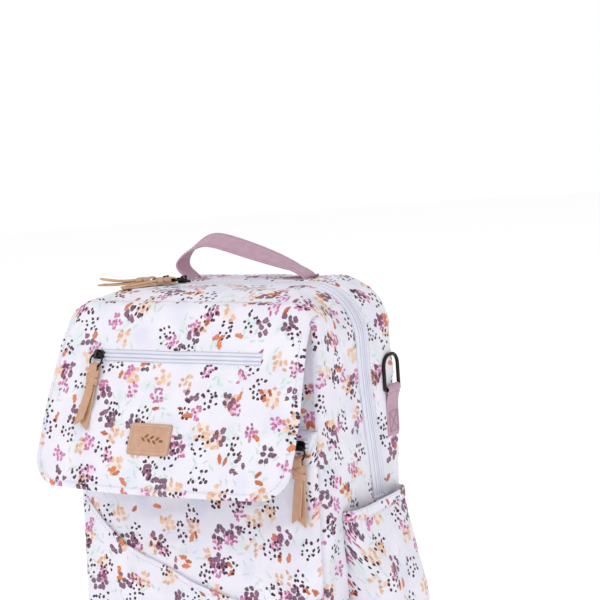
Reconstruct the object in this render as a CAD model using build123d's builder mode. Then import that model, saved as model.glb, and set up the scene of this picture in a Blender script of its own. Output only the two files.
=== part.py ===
"""Diaper bag worn as a backpack or hung by its side rings.

The base rests on z = 0, the front faces -Y and the top handle runs along X. Millimetres throughout.
The main compartment opens round a long zip that lies in the plane y = ZIP_Y and ends at z = MOUTH_Z on both
sides. Above that height the front half folds forward, and the pieces of the two halves are kept apart.
"""

import os
from math import atan, cos, radians, sin

from build123d import *

# ---- driving dimensions: the main compartment
WIDTH = 300.0
HEIGHT = 400.0
FRONT_DEPTH = 88.0      # main zip forward to the front panel, at the top
BACK_DEPTH = 64.0       # main zip back to the back panel
FRONT_LEAN = 20.0       # how much further forward the front panel stands at the base
TOP_CORNER = 58.0       # radius of the top corners, seen from the front
BASE_CORNER = 26.0
ZIP_Y = 12.0
MOUTH_Z = 170.0         # where the main zip ends and the front half folds
MOUTH_GAP = 3.0         # height left free between the two front halves
WALL = 4.0              # outer cloth with its foam and backing
LINING = 1.0

# ---- main zip
TAPE_VISIBLE = 11.5     # one tape, from the shell's edge to the coil
TAPE_THICK = 2.0
TAPE_INSET = 0.4
ZIP_GAP = 0.3           # half of the gap between the two coils

# ---- front pocket, on the front panel under the flap
POCKET_DEPTH = 12.0
POCKET_WALL = 2.0
POCKET_MARGIN = 2.0     # front pocket narrower than the bag, on each side
POCKET_TOP = 266.0
POCKET_FLOOR = 10.0
POCKET_ZIP_Z = 254.0
POCKET_ZIP_HEIGHT = 14.0
POCKET_ZIP_MARGIN = 5.0
SLIP_THICK = 1.6
SLIP_START_RISE = 24.0  # the slip pocket's curved mouth: left end above the fold, a place on its way, right end
SLIP_MID_X = -60.0
SLIP_MID_Z = 122.0
SLIP_END_Z = 72.0

# ---- flap
FLAP_OVERHANG = 5.0     # flap wider than the bag, on each side
FLAP_LENGTH = 190.0
FLAP_CORNER = 32.0
FLAP_THICK = 3.0
FLAP_LINING_THICK = 1.4
FLAP_REST = 26.0        # degrees that the flap stands off the vertical
FLAP_DROP = 12.0        # hinge line below the top panel
FLAP_HINGE_OUT = 5.0    # hinge line in front of the front panel
FLAP_TOP_GAP = 5.0      # free cloth between the hinge line and the flap's stiff part
RIDGE_RISE = 3.0
FLAP_ZIP_DOWN = 54.0
FLAP_ZIP_LENGTH = 210.0
FLAP_ZIP_HEIGHT = 13.0
LABEL_SIZE = (52.0, 32.0)
LABEL_AT = (-10.0, -139.0)
LABEL_THICK = 1.8
LABEL_CORNER = 3.5

MAGNET_MARGIN = 45.0    # magnets in from the bag's sides
MAGNET_DOWN = 165.0
MAGNET_RADIUS = 8.0
MAGNET_THICK = 1.6

# ---- zip sliders, rings and leather pulls
SLIDER_LONG = 13.0
SLIDER_WIDE = 10.0
SLIDER_THICK = 3.0
SLIDER_GAP = 0.4
BRIDGE_HEIGHT = 5.0
BRIDGE_BAR = 1.2
BRIDGE_WIDE = 8.0
BRIDGE_DEEP = 2.4
RING_RADIUS = 7.5
RING_WIRE = 1.0
KNOT = (17.0, 17.0, 8.6)
TAIL_WIDE = 11.5
TAIL_LONG = 50.0
TAIL_THICK = 2.2
TAIL_SPREAD = 5.0       # degrees between a tail and the pull's own line
PULL_LOOP = 9.0
PULL_CLEAR = 0.5

SLIDER_FROM_END = 9.0   # a closed slider's middle, in from the end of its zip
TOP_SLIDER_SPACING = 24.0
LEFT_PULL_TURN = 45.0   # how far a top pull lies off the straight line to the front
RIGHT_PULL_TURN = 30.0

# ---- side pockets
SIDE_POCKET_BELOW_TAB = 67.0  # from the foot of the side tab down to the side pocket's mouth
SIDE_POCKET_BULGE = 40.0
SIDE_POCKET_MOUTH = 15.0
SIDE_POCKET_HALF = 60.0
SIDE_POCKET_Y = 8.0
SIDE_POCKET_TUCK = 12.0  # the wall's foot, in from its widest place
SIDE_POCKET_BELLY = 0.35  # height of the widest place, as a share of the pocket's own
SIDE_POCKET_WALL = 2.5
SIDE_POCKET_FLOOR = 4.0
HEM_HEIGHT = 12.0
HEM_THICK = 1.2

# ---- top handle
WEBBING = 25.0
WEBBING_THICK = 3.0
HANDLE_HALF = 74.0
HANDLE_Y = 42.0
HANDLE_RISE = 48.0
HANDLE_BULGE = 14.0     # the left leg leans out this far before it rises
HANDLE_LEAN = 20.0
HANDLE_CREST = 34.0     # flat stretch at the top of the loop
HANDLE_GAP = 1.5        # under the rounded ends of the loop
ANCHOR_LONG = 30.0
ANCHOR_THICK = 1.2
ANCHOR_PAST = 6.0       # anchor past the handle's end

# ---- side rings
TAB_LONG = 48.0
TAB_DOWN = 120.0        # top of the tab below the top panel
TAB_FROM_BACK = 16.0    # middle of the tab in front of the back panel
TAB_THICK = 3.0
SIDE_RING_WIRE = 2.0
SIDE_RING_SLACK = 0.5   # between a leg and the tab
SIDE_RING_TALL = 36.0
SIDE_RING_BEND = 2.2
SIDE_RING_CROWN = 12.0
TAB_LOOP = 4.6          # outside radius of the webbing loop that holds the ring
TAB_EYE = 2.3           # inside radius of the same loop

# ---- back panel and shoulder straps
PAD_THICK = 8.0
PAD_MARGIN = 22.0
PAD_LOW = 60.0
PAD_DOWN = 50.0         # top of the pad below the top panel
PAD_CORNER = 36.0
STRAP_X = 72.0
STRAP_WIDE = 58.0
STRAP_THICK = 10.0
STRAP_STAND_OFF = 26.0
STRAP_END = 128.0
STRAP_BELLY_UP = 20.0   # the strap's furthest place, above the middle between its ends
STRAP_TUCK = 4.0        # the strap's sewn end, below the yoke's upper edge
YOKE_HEIGHT = 34.0
YOKE_THICK = 5.0
YOKE_MARGIN = 4.0       # yoke past the straps' outer edges
LOCK = (36.0, 28.0, 5.0)
LOCK_BAR = 4.0
LOCK_SLOT = 6.0
LOCK_Z = 110.0          # middle of the ladder lock
LOCK_Y_OUT = 9.0        # its middle, out from the back pad
STRAP_ANCHOR_Z = 22.0
STRAP_WEB_THICK = 2.0

# ---- inside
BOARD_THICK = 3.0
BOARD_GAP = 2.0
BOARD_CORNER = 12.0
SLEEVE_DEPTH = 22.0
SLEEVE_TOP = 250.0
SLEEVE_WALL = 1.2
MAT_SIZE = (230.0, 16.0, 225.0)
MAT_SLACK = 4.0         # sleeve wider than the mat
INNER_POCKET_TOP = 130.0
INNER_POCKET_DEPTH = 14.0
INNER_POCKET_MARGIN = 38.0
FITTING_GAP = 0.6

# ---- worked out from the values above
HALF = WIDTH / 2
FRONT_Y = ZIP_Y - FRONT_DEPTH
BACK_Y = ZIP_Y + BACK_DEPTH
SHELL_EDGE_BACK = ZIP_Y + ZIP_GAP + TAPE_VISIBLE
SHELL_EDGE_FRONT = ZIP_Y - ZIP_GAP - TAPE_VISIBLE
FLAP_HINGE_Y = FRONT_Y - FLAP_HINGE_OUT
FLAP_HINGE_Z = HEIGHT - FLAP_DROP
FLAP_HALF = HALF + FLAP_OVERHANG
FLAP_SLIDER_X = -FLAP_ZIP_LENGTH / 2 + SLIDER_FROM_END
MAGNET_X = HALF - MAGNET_MARGIN
POCKET_HALF = HALF - POCKET_MARGIN
POCKET_ZIP_HALF = POCKET_HALF - POCKET_ZIP_MARGIN
POCKET_SLIDER_X = POCKET_ZIP_HALF - SLIDER_FROM_END
INNER_POCKET_HALF = HALF - INNER_POCKET_MARGIN
HANDLE_PIVOT = WEBBING / 2 + HANDLE_GAP
SIDE_RING_WIDE = WEBBING + 2 * (SIDE_RING_WIRE + SIDE_RING_SLACK)
TAB_TOP = HEIGHT - TAB_DOWN
SIDE_POCKET_TOP = TAB_TOP - TAB_LONG - SIDE_POCKET_BELOW_TAB
TAB_Y = BACK_Y - TAB_FROM_BACK
PAD_HIGH = HEIGHT - PAD_DOWN
LOWER_TOP = MOUTH_Z - MOUTH_GAP / 2
UPPER_LOW = MOUTH_Z + MOUTH_GAP / 2
POCKET_ZIP_LOW = POCKET_ZIP_Z - POCKET_ZIP_HEIGHT / 2
POCKET_ZIP_HIGH = POCKET_ZIP_Z + POCKET_ZIP_HEIGHT / 2


def front_at(height):
    """y of the front panel at a height: a straight lean between its top and the base."""
    return FRONT_Y - FRONT_LEAN * (HEIGHT - height) / HEIGHT


def solid_form(inset, y_low, y_high, low, high, lean=True):
    """Solid between two heights and two depths, inside the bag's rounded front view drawn in by inset.

    With lean, y_low is counted from the leaning front panel, otherwise it is a plain depth.
    """
    front_low = front_at(low) + y_low if lean else y_low
    front_high = front_at(high) + y_low if lean else y_low
    with BuildPart() as form:
        with BuildSketch(Plane.YZ):
            with BuildLine():
                Polyline((front_low, low), (y_high, low), (y_high, high), (front_high, high), close=True)
            make_face()
        extrude(amount=HALF, both=True)
        with BuildSketch(Plane.XZ) as view:
            with Locations((0, HEIGHT / 2)):
                Rectangle(WIDTH - 2 * inset, HEIGHT - 2 * inset)
            fillet(view.vertices().group_by(Axis.Y)[-1], TOP_CORNER - inset)
            fillet(view.vertices().group_by(Axis.Y)[0], BASE_CORNER - inset)
        extrude(amount=2 * (FRONT_DEPTH + BACK_DEPTH), both=True, mode=Mode.INTERSECT)
    return form.part


def lean_slab(out_low, out_high, low, high, half):
    """Slab that follows the leaning front panel, between two distances from it (negative is outside)."""
    with BuildPart() as slab:
        with BuildSketch(Plane.YZ):
            with BuildLine():
                Polyline(
                    (front_at(low) + out_low, low),
                    (front_at(low) + out_high, low),
                    (front_at(high) + out_high, high),
                    (front_at(high) + out_low, high),
                    close=True,
                )
            make_face()
        extrude(amount=half, both=True)
    return slab.part


def finish_piece(piece, name):
    """Label a finished piece and write it."""
    piece.part.label = name
    export_step(piece.part, f"parts/{name}.step")


os.makedirs("parts", exist_ok=True)

# ======== main compartment
with BuildPart() as back_shell:
    add(solid_form(0, SHELL_EDGE_BACK, BACK_Y, 0, HEIGHT, lean=False))
    add(solid_form(WALL, SHELL_EDGE_BACK - 1, BACK_Y - WALL, 0, HEIGHT, lean=False), mode=Mode.SUBTRACT)
finish_piece(back_shell, "back_shell")

with BuildPart() as lower_shell:
    add(solid_form(0, 0, SHELL_EDGE_BACK, 0, LOWER_TOP))
    add(solid_form(WALL, WALL, SHELL_EDGE_BACK + 1, 0, LOWER_TOP + 1), mode=Mode.SUBTRACT)
finish_piece(lower_shell, "lower_shell")

with BuildPart() as front_shell:
    add(solid_form(0, 0, SHELL_EDGE_FRONT, UPPER_LOW, HEIGHT))
    add(solid_form(WALL, WALL, SHELL_EDGE_FRONT + 1, UPPER_LOW - 1, HEIGHT), mode=Mode.SUBTRACT)
finish_piece(front_shell, "front_shell")

with BuildPart() as lining_back:
    add(solid_form(WALL, SHELL_EDGE_BACK, BACK_Y - WALL, 0, HEIGHT, lean=False))
    add(
        solid_form(WALL + LINING, SHELL_EDGE_BACK - 1, BACK_Y - WALL - LINING, 0, HEIGHT, lean=False),
        mode=Mode.SUBTRACT,
    )
finish_piece(lining_back, "lining_back")

with BuildPart() as lining_lower:
    add(solid_form(WALL, WALL, SHELL_EDGE_BACK, 0, LOWER_TOP))
    add(
        solid_form(WALL + LINING, WALL + LINING, SHELL_EDGE_BACK + 1, 0, LOWER_TOP + 1),
        mode=Mode.SUBTRACT,
    )
finish_piece(lining_lower, "lining_lower")

with BuildPart() as lining_front:
    add(solid_form(WALL, WALL, SHELL_EDGE_FRONT, UPPER_LOW, HEIGHT))
    add(
        solid_form(WALL + LINING, WALL + LINING, SHELL_EDGE_FRONT + 1, UPPER_LOW - 1, HEIGHT),
        mode=Mode.SUBTRACT,
    )
finish_piece(lining_front, "lining_front")


def zip_tape(y_low, y_high, name):
    """One tape of the main zip: a band just under the shell's outer face, round the sides and the top."""
    with BuildPart() as tape:
        add(solid_form(TAPE_INSET, y_low, y_high, UPPER_LOW, HEIGHT, lean=False))
        add(
            solid_form(TAPE_INSET + TAPE_THICK, y_low - 1, y_high + 1, UPPER_LOW - 1, HEIGHT, lean=False),
            mode=Mode.SUBTRACT,
        )
    finish_piece(tape, name)


zip_tape(SHELL_EDGE_FRONT, ZIP_Y - ZIP_GAP, "main_zip_tape_front")
zip_tape(ZIP_Y + ZIP_GAP, SHELL_EDGE_BACK, "main_zip_tape_back")

with BuildPart() as zip_end_stops:
    add(solid_form(TAPE_INSET, ZIP_Y + ZIP_GAP, SHELL_EDGE_BACK, LOWER_TOP, UPPER_LOW, lean=False))
    add(
        solid_form(TAPE_INSET + TAPE_THICK, ZIP_Y, SHELL_EDGE_BACK + 1, LOWER_TOP - 1, UPPER_LOW + 1, lean=False),
        mode=Mode.SUBTRACT,
    )
finish_piece(zip_end_stops, "zip_end_stops")

# ======== inside: base board, sleeve on the back wall with the folded changing mat, pocket on the front wall
INSIDE = WALL + LINING
with BuildPart() as base_board:
    with BuildSketch(Plane.XY.offset(INSIDE)):
        with Locations((0, (front_at(INSIDE) + BACK_Y) / 2)):
            RectangleRounded(
                WIDTH - 2 * BASE_CORNER - 2 * BOARD_GAP,
                BACK_Y - front_at(INSIDE) - 2 * (INSIDE + BOARD_GAP),
                BOARD_CORNER,
            )
    extrude(amount=BOARD_THICK)
finish_piece(base_board, "base_board")

SLEEVE_FLOOR = INSIDE + BOARD_THICK + FITTING_GAP
SLEEVE_BACK = BACK_Y - INSIDE
with BuildPart() as mat_sleeve:
    with BuildSketch(Plane.XY.offset(SLEEVE_FLOOR)):
        with Locations((0, SLEEVE_BACK - SLEEVE_DEPTH / 2)):
            Rectangle(MAT_SIZE[0] + 2 * SLEEVE_WALL + MAT_SLACK, SLEEVE_DEPTH)
    extrude(amount=SLEEVE_TOP - SLEEVE_FLOOR)
    with BuildSketch(Plane.XY.offset(SLEEVE_FLOOR + SLEEVE_WALL)):
        with Locations((0, SLEEVE_BACK - SLEEVE_DEPTH / 2 + SLEEVE_WALL)):
            Rectangle(MAT_SIZE[0] + MAT_SLACK, SLEEVE_DEPTH)
    extrude(amount=SLEEVE_TOP, mode=Mode.SUBTRACT)
finish_piece(mat_sleeve, "mat_sleeve")

with BuildPart() as changing_mat:
    with BuildSketch(Plane.XY.offset(SLEEVE_FLOOR + SLEEVE_WALL)):
        with Locations((0, SLEEVE_BACK - FITTING_GAP - MAT_SIZE[1] / 2)):
            RectangleRounded(MAT_SIZE[0], MAT_SIZE[1], MAT_SIZE[1] / 2 - 0.5)
    extrude(amount=MAT_SIZE[2])
finish_piece(changing_mat, "changing_mat")

with BuildPart() as inner_pocket:
    add(lean_slab(INSIDE, INSIDE + INNER_POCKET_DEPTH, SLEEVE_FLOOR, INNER_POCKET_TOP, INNER_POCKET_HALF))
    add(
        lean_slab(
            INSIDE - 1,
            INSIDE + INNER_POCKET_DEPTH - SLEEVE_WALL,
            SLEEVE_FLOOR + SLEEVE_WALL,
            INNER_POCKET_TOP + 1,
            INNER_POCKET_HALF - SLEEVE_WALL,
        ),
        mode=Mode.SUBTRACT,
    )
finish_piece(inner_pocket, "inner_pocket")

# ======== front pocket: an upper panel that folds with the front half, a lower panel that stays
with BuildPart() as pocket_upper:
    add(lean_slab(-POCKET_DEPTH, 0, UPPER_LOW, POCKET_TOP, POCKET_HALF))
    add(
        lean_slab(-POCKET_DEPTH + POCKET_WALL, 1, UPPER_LOW - 1, POCKET_TOP - POCKET_WALL, POCKET_HALF - POCKET_WALL),
        mode=Mode.SUBTRACT,
    )
    add(
        lean_slab(-POCKET_DEPTH - 1, -POCKET_DEPTH + POCKET_WALL + 1, POCKET_ZIP_LOW, POCKET_ZIP_HIGH, POCKET_ZIP_HALF),
        mode=Mode.SUBTRACT,
    )
finish_piece(pocket_upper, "pocket_upper")

with BuildPart() as pocket_zip_tape:
    add(
        lean_slab(
            -POCKET_DEPTH + TAPE_INSET,
            -POCKET_DEPTH + POCKET_WALL,
            POCKET_ZIP_LOW,
            POCKET_ZIP_HIGH,
            POCKET_ZIP_HALF,
        )
    )
finish_piece(pocket_zip_tape, "pocket_zip_tape")

with BuildPart() as pocket_lower:
    add(lean_slab(-POCKET_DEPTH, 0, POCKET_FLOOR, LOWER_TOP, POCKET_HALF))
    add(
        lean_slab(
            -POCKET_DEPTH + POCKET_WALL,
            1,
            POCKET_FLOOR + POCKET_WALL,
            LOWER_TOP + 1,
            POCKET_HALF - POCKET_WALL,
        ),
        mode=Mode.SUBTRACT,
    )
finish_piece(pocket_lower, "pocket_lower")

# the slip pocket is one more layer on the lower panel; its mouth is a long curve down from the left edge
with BuildPart() as slip_pocket:
    add(lean_slab(-POCKET_DEPTH - SLIP_THICK, -POCKET_DEPTH, POCKET_FLOOR, LOWER_TOP, POCKET_HALF))
    with BuildSketch(Plane.XZ):
        with BuildLine():
            mouth = ThreePointArc((-POCKET_HALF, LOWER_TOP + SLIP_START_RISE), (SLIP_MID_X, SLIP_MID_Z), (POCKET_HALF, SLIP_END_Z))
            Polyline(
                mouth @ 1,
                (POCKET_HALF, LOWER_TOP + 40),
                (-POCKET_HALF, LOWER_TOP + 40),
                mouth @ 0,
            )
        make_face()
    extrude(amount=2 * FRONT_DEPTH, mode=Mode.SUBTRACT)
finish_piece(slip_pocket, "slip_pocket")

# ======== side pockets for bottles, one on each side, with an elastic hem


def side_pocket(side):
    """Bottle pocket: a wall that bulges from its floor and pulls in to its mouth."""
    with BuildPart() as pocket:
        with BuildSketch(Plane.XZ.offset(-SIDE_POCKET_Y)):
            add(pocket_view(side, 0))
        extrude(amount=SIDE_POCKET_HALF, both=True)
        with BuildSketch(Plane.XZ.offset(-SIDE_POCKET_Y)):
            add(pocket_view(side, SIDE_POCKET_WALL))
        extrude(amount=SIDE_POCKET_HALF - SIDE_POCKET_WALL, both=True, mode=Mode.SUBTRACT)
    return pocket


def pocket_view(side, inset):
    """Front view of a side pocket, drawn in by inset everywhere but at its mouth and on the bag's side."""
    floor = SIDE_POCKET_FLOOR + inset
    bulge = HALF + SIDE_POCKET_BULGE - inset
    top = SIDE_POCKET_TOP + (1 if inset else 0)
    with BuildSketch() as view:
        with BuildLine():
            wall = Spline(
                (side * (bulge - SIDE_POCKET_TUCK), floor),
                (side * bulge, SIDE_POCKET_TOP * SIDE_POCKET_BELLY),
                (side * (HALF + SIDE_POCKET_MOUTH - inset), top),
            )
            Polyline(wall @ 1, (side * HALF, top), (side * HALF, floor), wall @ 0)
        make_face()
    return view.sketch


for side, place in ((-1, "left"), (1, "right")):
    finish_piece(side_pocket(side), f"side_pocket_{place}")
    with BuildPart() as side_hem:
        with BuildSketch(Plane.XY.offset(SIDE_POCKET_TOP)):
            with Locations((side * (HALF + (SIDE_POCKET_MOUTH + HEM_THICK) / 2), SIDE_POCKET_Y)):
                Rectangle(SIDE_POCKET_MOUTH + HEM_THICK, 2 * SIDE_POCKET_HALF + 2 * HEM_THICK)
            with Locations((side * (HALF + (SIDE_POCKET_MOUTH - SIDE_POCKET_WALL) / 2), SIDE_POCKET_Y)):
                Rectangle(
                    SIDE_POCKET_MOUTH - SIDE_POCKET_WALL,
                    2 * SIDE_POCKET_HALF - 2 * SIDE_POCKET_WALL,
                    mode=Mode.SUBTRACT,
                )
        extrude(amount=HEM_HEIGHT)
    finish_piece(side_hem, f"side_hem_{place}")

# the front pocket's outer face at its zip, leaning with the front panel
lean_angle = atan(FRONT_LEAN / HEIGHT)
pocket_plane = Plane(
    origin=(0, front_at(POCKET_ZIP_Z) - POCKET_DEPTH, POCKET_ZIP_Z),
    x_dir=(1, 0, 0),
    z_dir=(0, -cos(lean_angle), sin(lean_angle)),
)

# ======== flap: hangs from its hinge line on the top front edge, turned FLAP_REST off the vertical
flap_plane = Plane(
    origin=(0, FLAP_HINGE_Y, FLAP_HINGE_Z),
    x_dir=(1, 0, 0),
    z_dir=(0, -cos(radians(FLAP_REST)), sin(radians(FLAP_REST))),
)


def flap_layer(out, thick, slot=0.0):
    """One layer of the flap, rounded at its lower corners, with an optional opening for the zip."""
    with BuildPart() as layer:
        with BuildSketch(flap_plane.offset(out)) as outline:
            with Locations((0, -(FLAP_LENGTH + FLAP_TOP_GAP) / 2)):
                Rectangle(2 * FLAP_HALF, FLAP_LENGTH - FLAP_TOP_GAP)
            fillet(outline.vertices().group_by(Axis.Y)[0], FLAP_CORNER)
            if slot:
                with Locations((0, -FLAP_ZIP_DOWN)):
                    Rectangle(FLAP_ZIP_LENGTH, slot, mode=Mode.SUBTRACT)
        extrude(amount=thick)
    return layer


def magnet_pair(plane, down, name):
    """Two thin magnets sewn in, one near each side."""
    with BuildPart() as pair:
        with BuildSketch(plane):
            with Locations((-MAGNET_X, -down), (MAGNET_X, -down)):
                Circle(MAGNET_RADIUS)
        extrude(amount=MAGNET_THICK)
    finish_piece(pair, name)
    return pair


flap_magnets = magnet_pair(flap_plane.offset(FLAP_LINING_THICK), MAGNET_DOWN, "flap_magnets")
magnet_pair(
    pocket_plane.offset(-POCKET_WALL - MAGNET_THICK), MAGNET_DOWN - (FLAP_HINGE_Z - POCKET_ZIP_Z), "pocket_magnets"
)

finish_piece(flap_layer(0, FLAP_LINING_THICK), "flap_lining")
with BuildPart() as flap_panel:
    add(flap_layer(FLAP_LINING_THICK, FLAP_THICK, FLAP_ZIP_HEIGHT).part)
    add(flap_magnets.part, mode=Mode.SUBTRACT)
finish_piece(flap_panel, "flap_panel")
FLAP_FACE = FLAP_LINING_THICK + FLAP_THICK

with BuildPart() as flap_zip_tape:
    with BuildSketch(flap_plane.offset(FLAP_LINING_THICK)):
        with Locations((0, -FLAP_ZIP_DOWN)):
            Rectangle(FLAP_ZIP_LENGTH, FLAP_ZIP_HEIGHT)
    extrude(amount=FLAP_THICK - TAPE_INSET)
finish_piece(flap_zip_tape, "flap_zip_tape")

with BuildPart() as label:
    with BuildSketch(flap_plane.offset(FLAP_FACE)):
        with Locations(LABEL_AT):
            RectangleRounded(*LABEL_SIZE, LABEL_CORNER)
    extrude(amount=LABEL_THICK)
finish_piece(label, "leather_label")

# the ridge where the flap's cloth comes off the top panel
with BuildPart() as flap_ridge:
    add(lean_slab(-FLAP_HINGE_OUT, 0, FLAP_HINGE_Z, FLAP_HINGE_Z + RIDGE_RISE, HALF - TOP_CORNER))
finish_piece(flap_ridge, "flap_ridge")


# ======== zip sliders with their rings and leather pulls


def slider(plane):
    """Slider body with a bridge over it; the bridge's eye is open along the plane's x."""
    with BuildPart() as body:
        with BuildSketch(plane.offset(SLIDER_GAP)):
            RectangleRounded(SLIDER_LONG, SLIDER_WIDE, 3)
        extrude(amount=SLIDER_THICK)
        eye_view = Plane(origin=plane.origin, x_dir=plane.y_dir, z_dir=plane.x_dir)
        with BuildSketch(eye_view.offset(-BRIDGE_DEEP / 2)):
            with Locations((0, SLIDER_GAP + SLIDER_THICK + BRIDGE_HEIGHT / 2)):
                Rectangle(BRIDGE_WIDE, BRIDGE_HEIGHT)
            with Locations((0, SLIDER_GAP + SLIDER_THICK + (BRIDGE_HEIGHT - BRIDGE_BAR) / 2)):
                Rectangle(BRIDGE_WIDE - 2 * BRIDGE_BAR, BRIDGE_HEIGHT - BRIDGE_BAR, mode=Mode.SUBTRACT)
        extrude(amount=BRIDGE_DEEP)
    return body


EYE_OUT = SLIDER_GAP + SLIDER_THICK + (BRIDGE_HEIGHT - BRIDGE_BAR) / 2


def pull(plane, name):
    """Ring through the slider's eye, and a leather strip folded through it, knotted, with two loose tails.

    The pull lies along the plane's -y, at the height of the eye.
    """
    ring_plane = Plane(
        origin=plane.origin + plane.z_dir * EYE_OUT - plane.y_dir * (RING_RADIUS - RING_WIRE / 2),
        x_dir=plane.x_dir,
        z_dir=plane.z_dir,
    )
    with BuildPart(ring_plane) as ring:
        Torus(RING_RADIUS, RING_WIRE)
    finish_piece(ring, f"{name}_ring")
    knot_wide, knot_long, knot_thick = KNOT
    lift = max(0.0, knot_thick / 2 + PULL_CLEAR - EYE_OUT)
    loop_top = -RING_RADIUS + PULL_LOOP / 2
    knot_top = loop_top - PULL_LOOP + 1
    tail_top = knot_top - knot_long + 2
    with BuildPart() as leather:
        with BuildSketch(ring_plane.offset(-PULL_LOOP / 4)):
            with Locations((0, loop_top - PULL_LOOP / 2)):
                Rectangle(TAIL_WIDE - 2, PULL_LOOP)
        extrude(amount=PULL_LOOP / 2)
        with BuildSketch(ring_plane.offset(lift - knot_thick / 2)):
            with Locations((0, knot_top - knot_long / 2)):
                RectangleRounded(knot_wide, knot_long, 5)
        extrude(amount=knot_thick)
        for turn, low in ((TAIL_SPREAD, -TAIL_THICK), (-TAIL_SPREAD, 0)):
            with BuildSketch(ring_plane.offset(lift + low)):
                with BuildLine():
                    tail = Polyline(
                        (-TAIL_WIDE / 2, 0),
                        (TAIL_WIDE / 2, 0),
                        (TAIL_WIDE / 2, -TAIL_LONG),
                        (-TAIL_WIDE / 2, -TAIL_LONG + TAIL_WIDE / 2),
                        close=True,
                        mode=Mode.PRIVATE,
                    )
                    add(Pos(0, tail_top) * Rot(0, 0, turn) * tail)
                make_face()
            extrude(amount=TAIL_THICK)
        add(ring.part, mode=Mode.SUBTRACT)
    finish_piece(leather, f"{name}_leather")


def top_plane(x, turn):
    """Plane on the top panel at the main zip, turned so that a pull lies to the front, off to the left by turn."""
    return Plane(
        origin=(x, ZIP_Y, HEIGHT),
        x_dir=(cos(radians(turn)), -sin(radians(turn)), 0),
        z_dir=(0, 0, 1),
    )


LEFT_SLIDER_X = -HALF + TOP_CORNER
flap_zip_place = Plane(
    origin=flap_plane.origin
    + flap_plane.x_dir * FLAP_SLIDER_X
    - flap_plane.y_dir * FLAP_ZIP_DOWN
    + flap_plane.z_dir * FLAP_FACE,
    x_dir=flap_plane.x_dir,
    z_dir=flap_plane.z_dir,
)
pocket_zip_place = Plane(
    origin=pocket_plane.origin + pocket_plane.x_dir * POCKET_SLIDER_X,
    x_dir=pocket_plane.x_dir,
    z_dir=pocket_plane.z_dir,
)
for place, turned, name in (
    (flap_zip_place, flap_zip_place, "flap"),
    (pocket_zip_place, pocket_zip_place, "pocket"),
    (top_plane(LEFT_SLIDER_X, 0), top_plane(LEFT_SLIDER_X, LEFT_PULL_TURN), "main_left"),
    (
        top_plane(LEFT_SLIDER_X + TOP_SLIDER_SPACING, 0),
        top_plane(LEFT_SLIDER_X + TOP_SLIDER_SPACING, RIGHT_PULL_TURN),
        "main_right",
    ),
):
    finish_piece(slider(place), f"{name}_slider")
    pull(turned, f"{name}_pull")

# ======== top handle: a webbing loop that tips about its sewn ends
PIVOT_Z = HEIGHT + HANDLE_PIVOT
with BuildPart() as handle:
    with BuildSketch(Plane.XZ.offset(-HANDLE_Y)):
        with BuildLine():
            FilletPolyline(
                (-HANDLE_HALF, HEIGHT),
                (-HANDLE_HALF - HANDLE_BULGE, HEIGHT + HANDLE_RISE * 0.42),
                (-HANDLE_HALF + HANDLE_LEAN, HEIGHT + HANDLE_RISE),
                (-HANDLE_HALF + HANDLE_LEAN + HANDLE_CREST, HEIGHT + HANDLE_RISE),
                (HANDLE_HALF - HANDLE_LEAN / 2, HEIGHT + HANDLE_PIVOT),
                (HANDLE_HALF, HEIGHT),
                radius=(10, 12, 14, 12),
            )
        trace(line_width=WEBBING_THICK)
    extrude(amount=WEBBING / 2, both=True)
    with BuildSketch(Plane.YZ):
        with Locations((HANDLE_Y, PIVOT_Z)):
            Circle(WEBBING / 2)
        with Locations((HANDLE_Y, PIVOT_Z + HANDLE_RISE / 2)):
            Rectangle(WEBBING, HANDLE_RISE)
    extrude(amount=WIDTH, both=True, mode=Mode.INTERSECT)
finish_piece(handle, "handle")

for side, place in ((-1, "left"), (1, "right")):
    with BuildPart() as anchor:
        with BuildSketch(Plane.XY.offset(HEIGHT)):
            with Locations((side * (HANDLE_HALF - ANCHOR_LONG / 2 + ANCHOR_PAST), HANDLE_Y)):
                Rectangle(ANCHOR_LONG, WEBBING)
        extrude(amount=ANCHOR_THICK)
    finish_piece(anchor, f"handle_anchor_{place}")

# ======== side rings in their webbing tabs
RING_X = HALF + TAB_LOOP
RING_Z = TAB_TOP + TAB_EYE
for side, place in ((-1, "left"), (1, "right")):
    with BuildPart() as tab:
        with BuildSketch(Plane.XZ.offset(-TAB_Y)):
            with Locations((side * (HALF + TAB_THICK / 2), TAB_TOP - TAB_LONG / 2)):
                Rectangle(TAB_THICK, TAB_LONG)
            with Locations((side * RING_X, RING_Z)):
                Circle(TAB_LOOP)
            with Locations((side * RING_X, RING_Z)):
                Circle(TAB_EYE, mode=Mode.SUBTRACT)
        extrude(amount=WEBBING / 2, both=True)
    finish_piece(tab, f"ring_tab_{place}")
    with BuildPart() as side_ring:
        with BuildLine(Plane.YZ.offset(side * RING_X)):
            wire_path = FilletPolyline(
                (TAB_Y + SIDE_RING_WIDE / 2, RING_Z),
                (TAB_Y + SIDE_RING_WIDE / 2, RING_Z + SIDE_RING_TALL),
                (TAB_Y - SIDE_RING_WIDE / 2, RING_Z + SIDE_RING_TALL),
                (TAB_Y - SIDE_RING_WIDE / 2, RING_Z),
                close=True,
                radius=(SIDE_RING_BEND, SIDE_RING_CROWN, SIDE_RING_CROWN, SIDE_RING_BEND),
            )
        with BuildSketch(Plane(origin=wire_path @ 0, z_dir=wire_path % 0)):
            Circle(SIDE_RING_WIRE)
        sweep()
    finish_piece(side_ring, f"side_ring_{place}")

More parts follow.
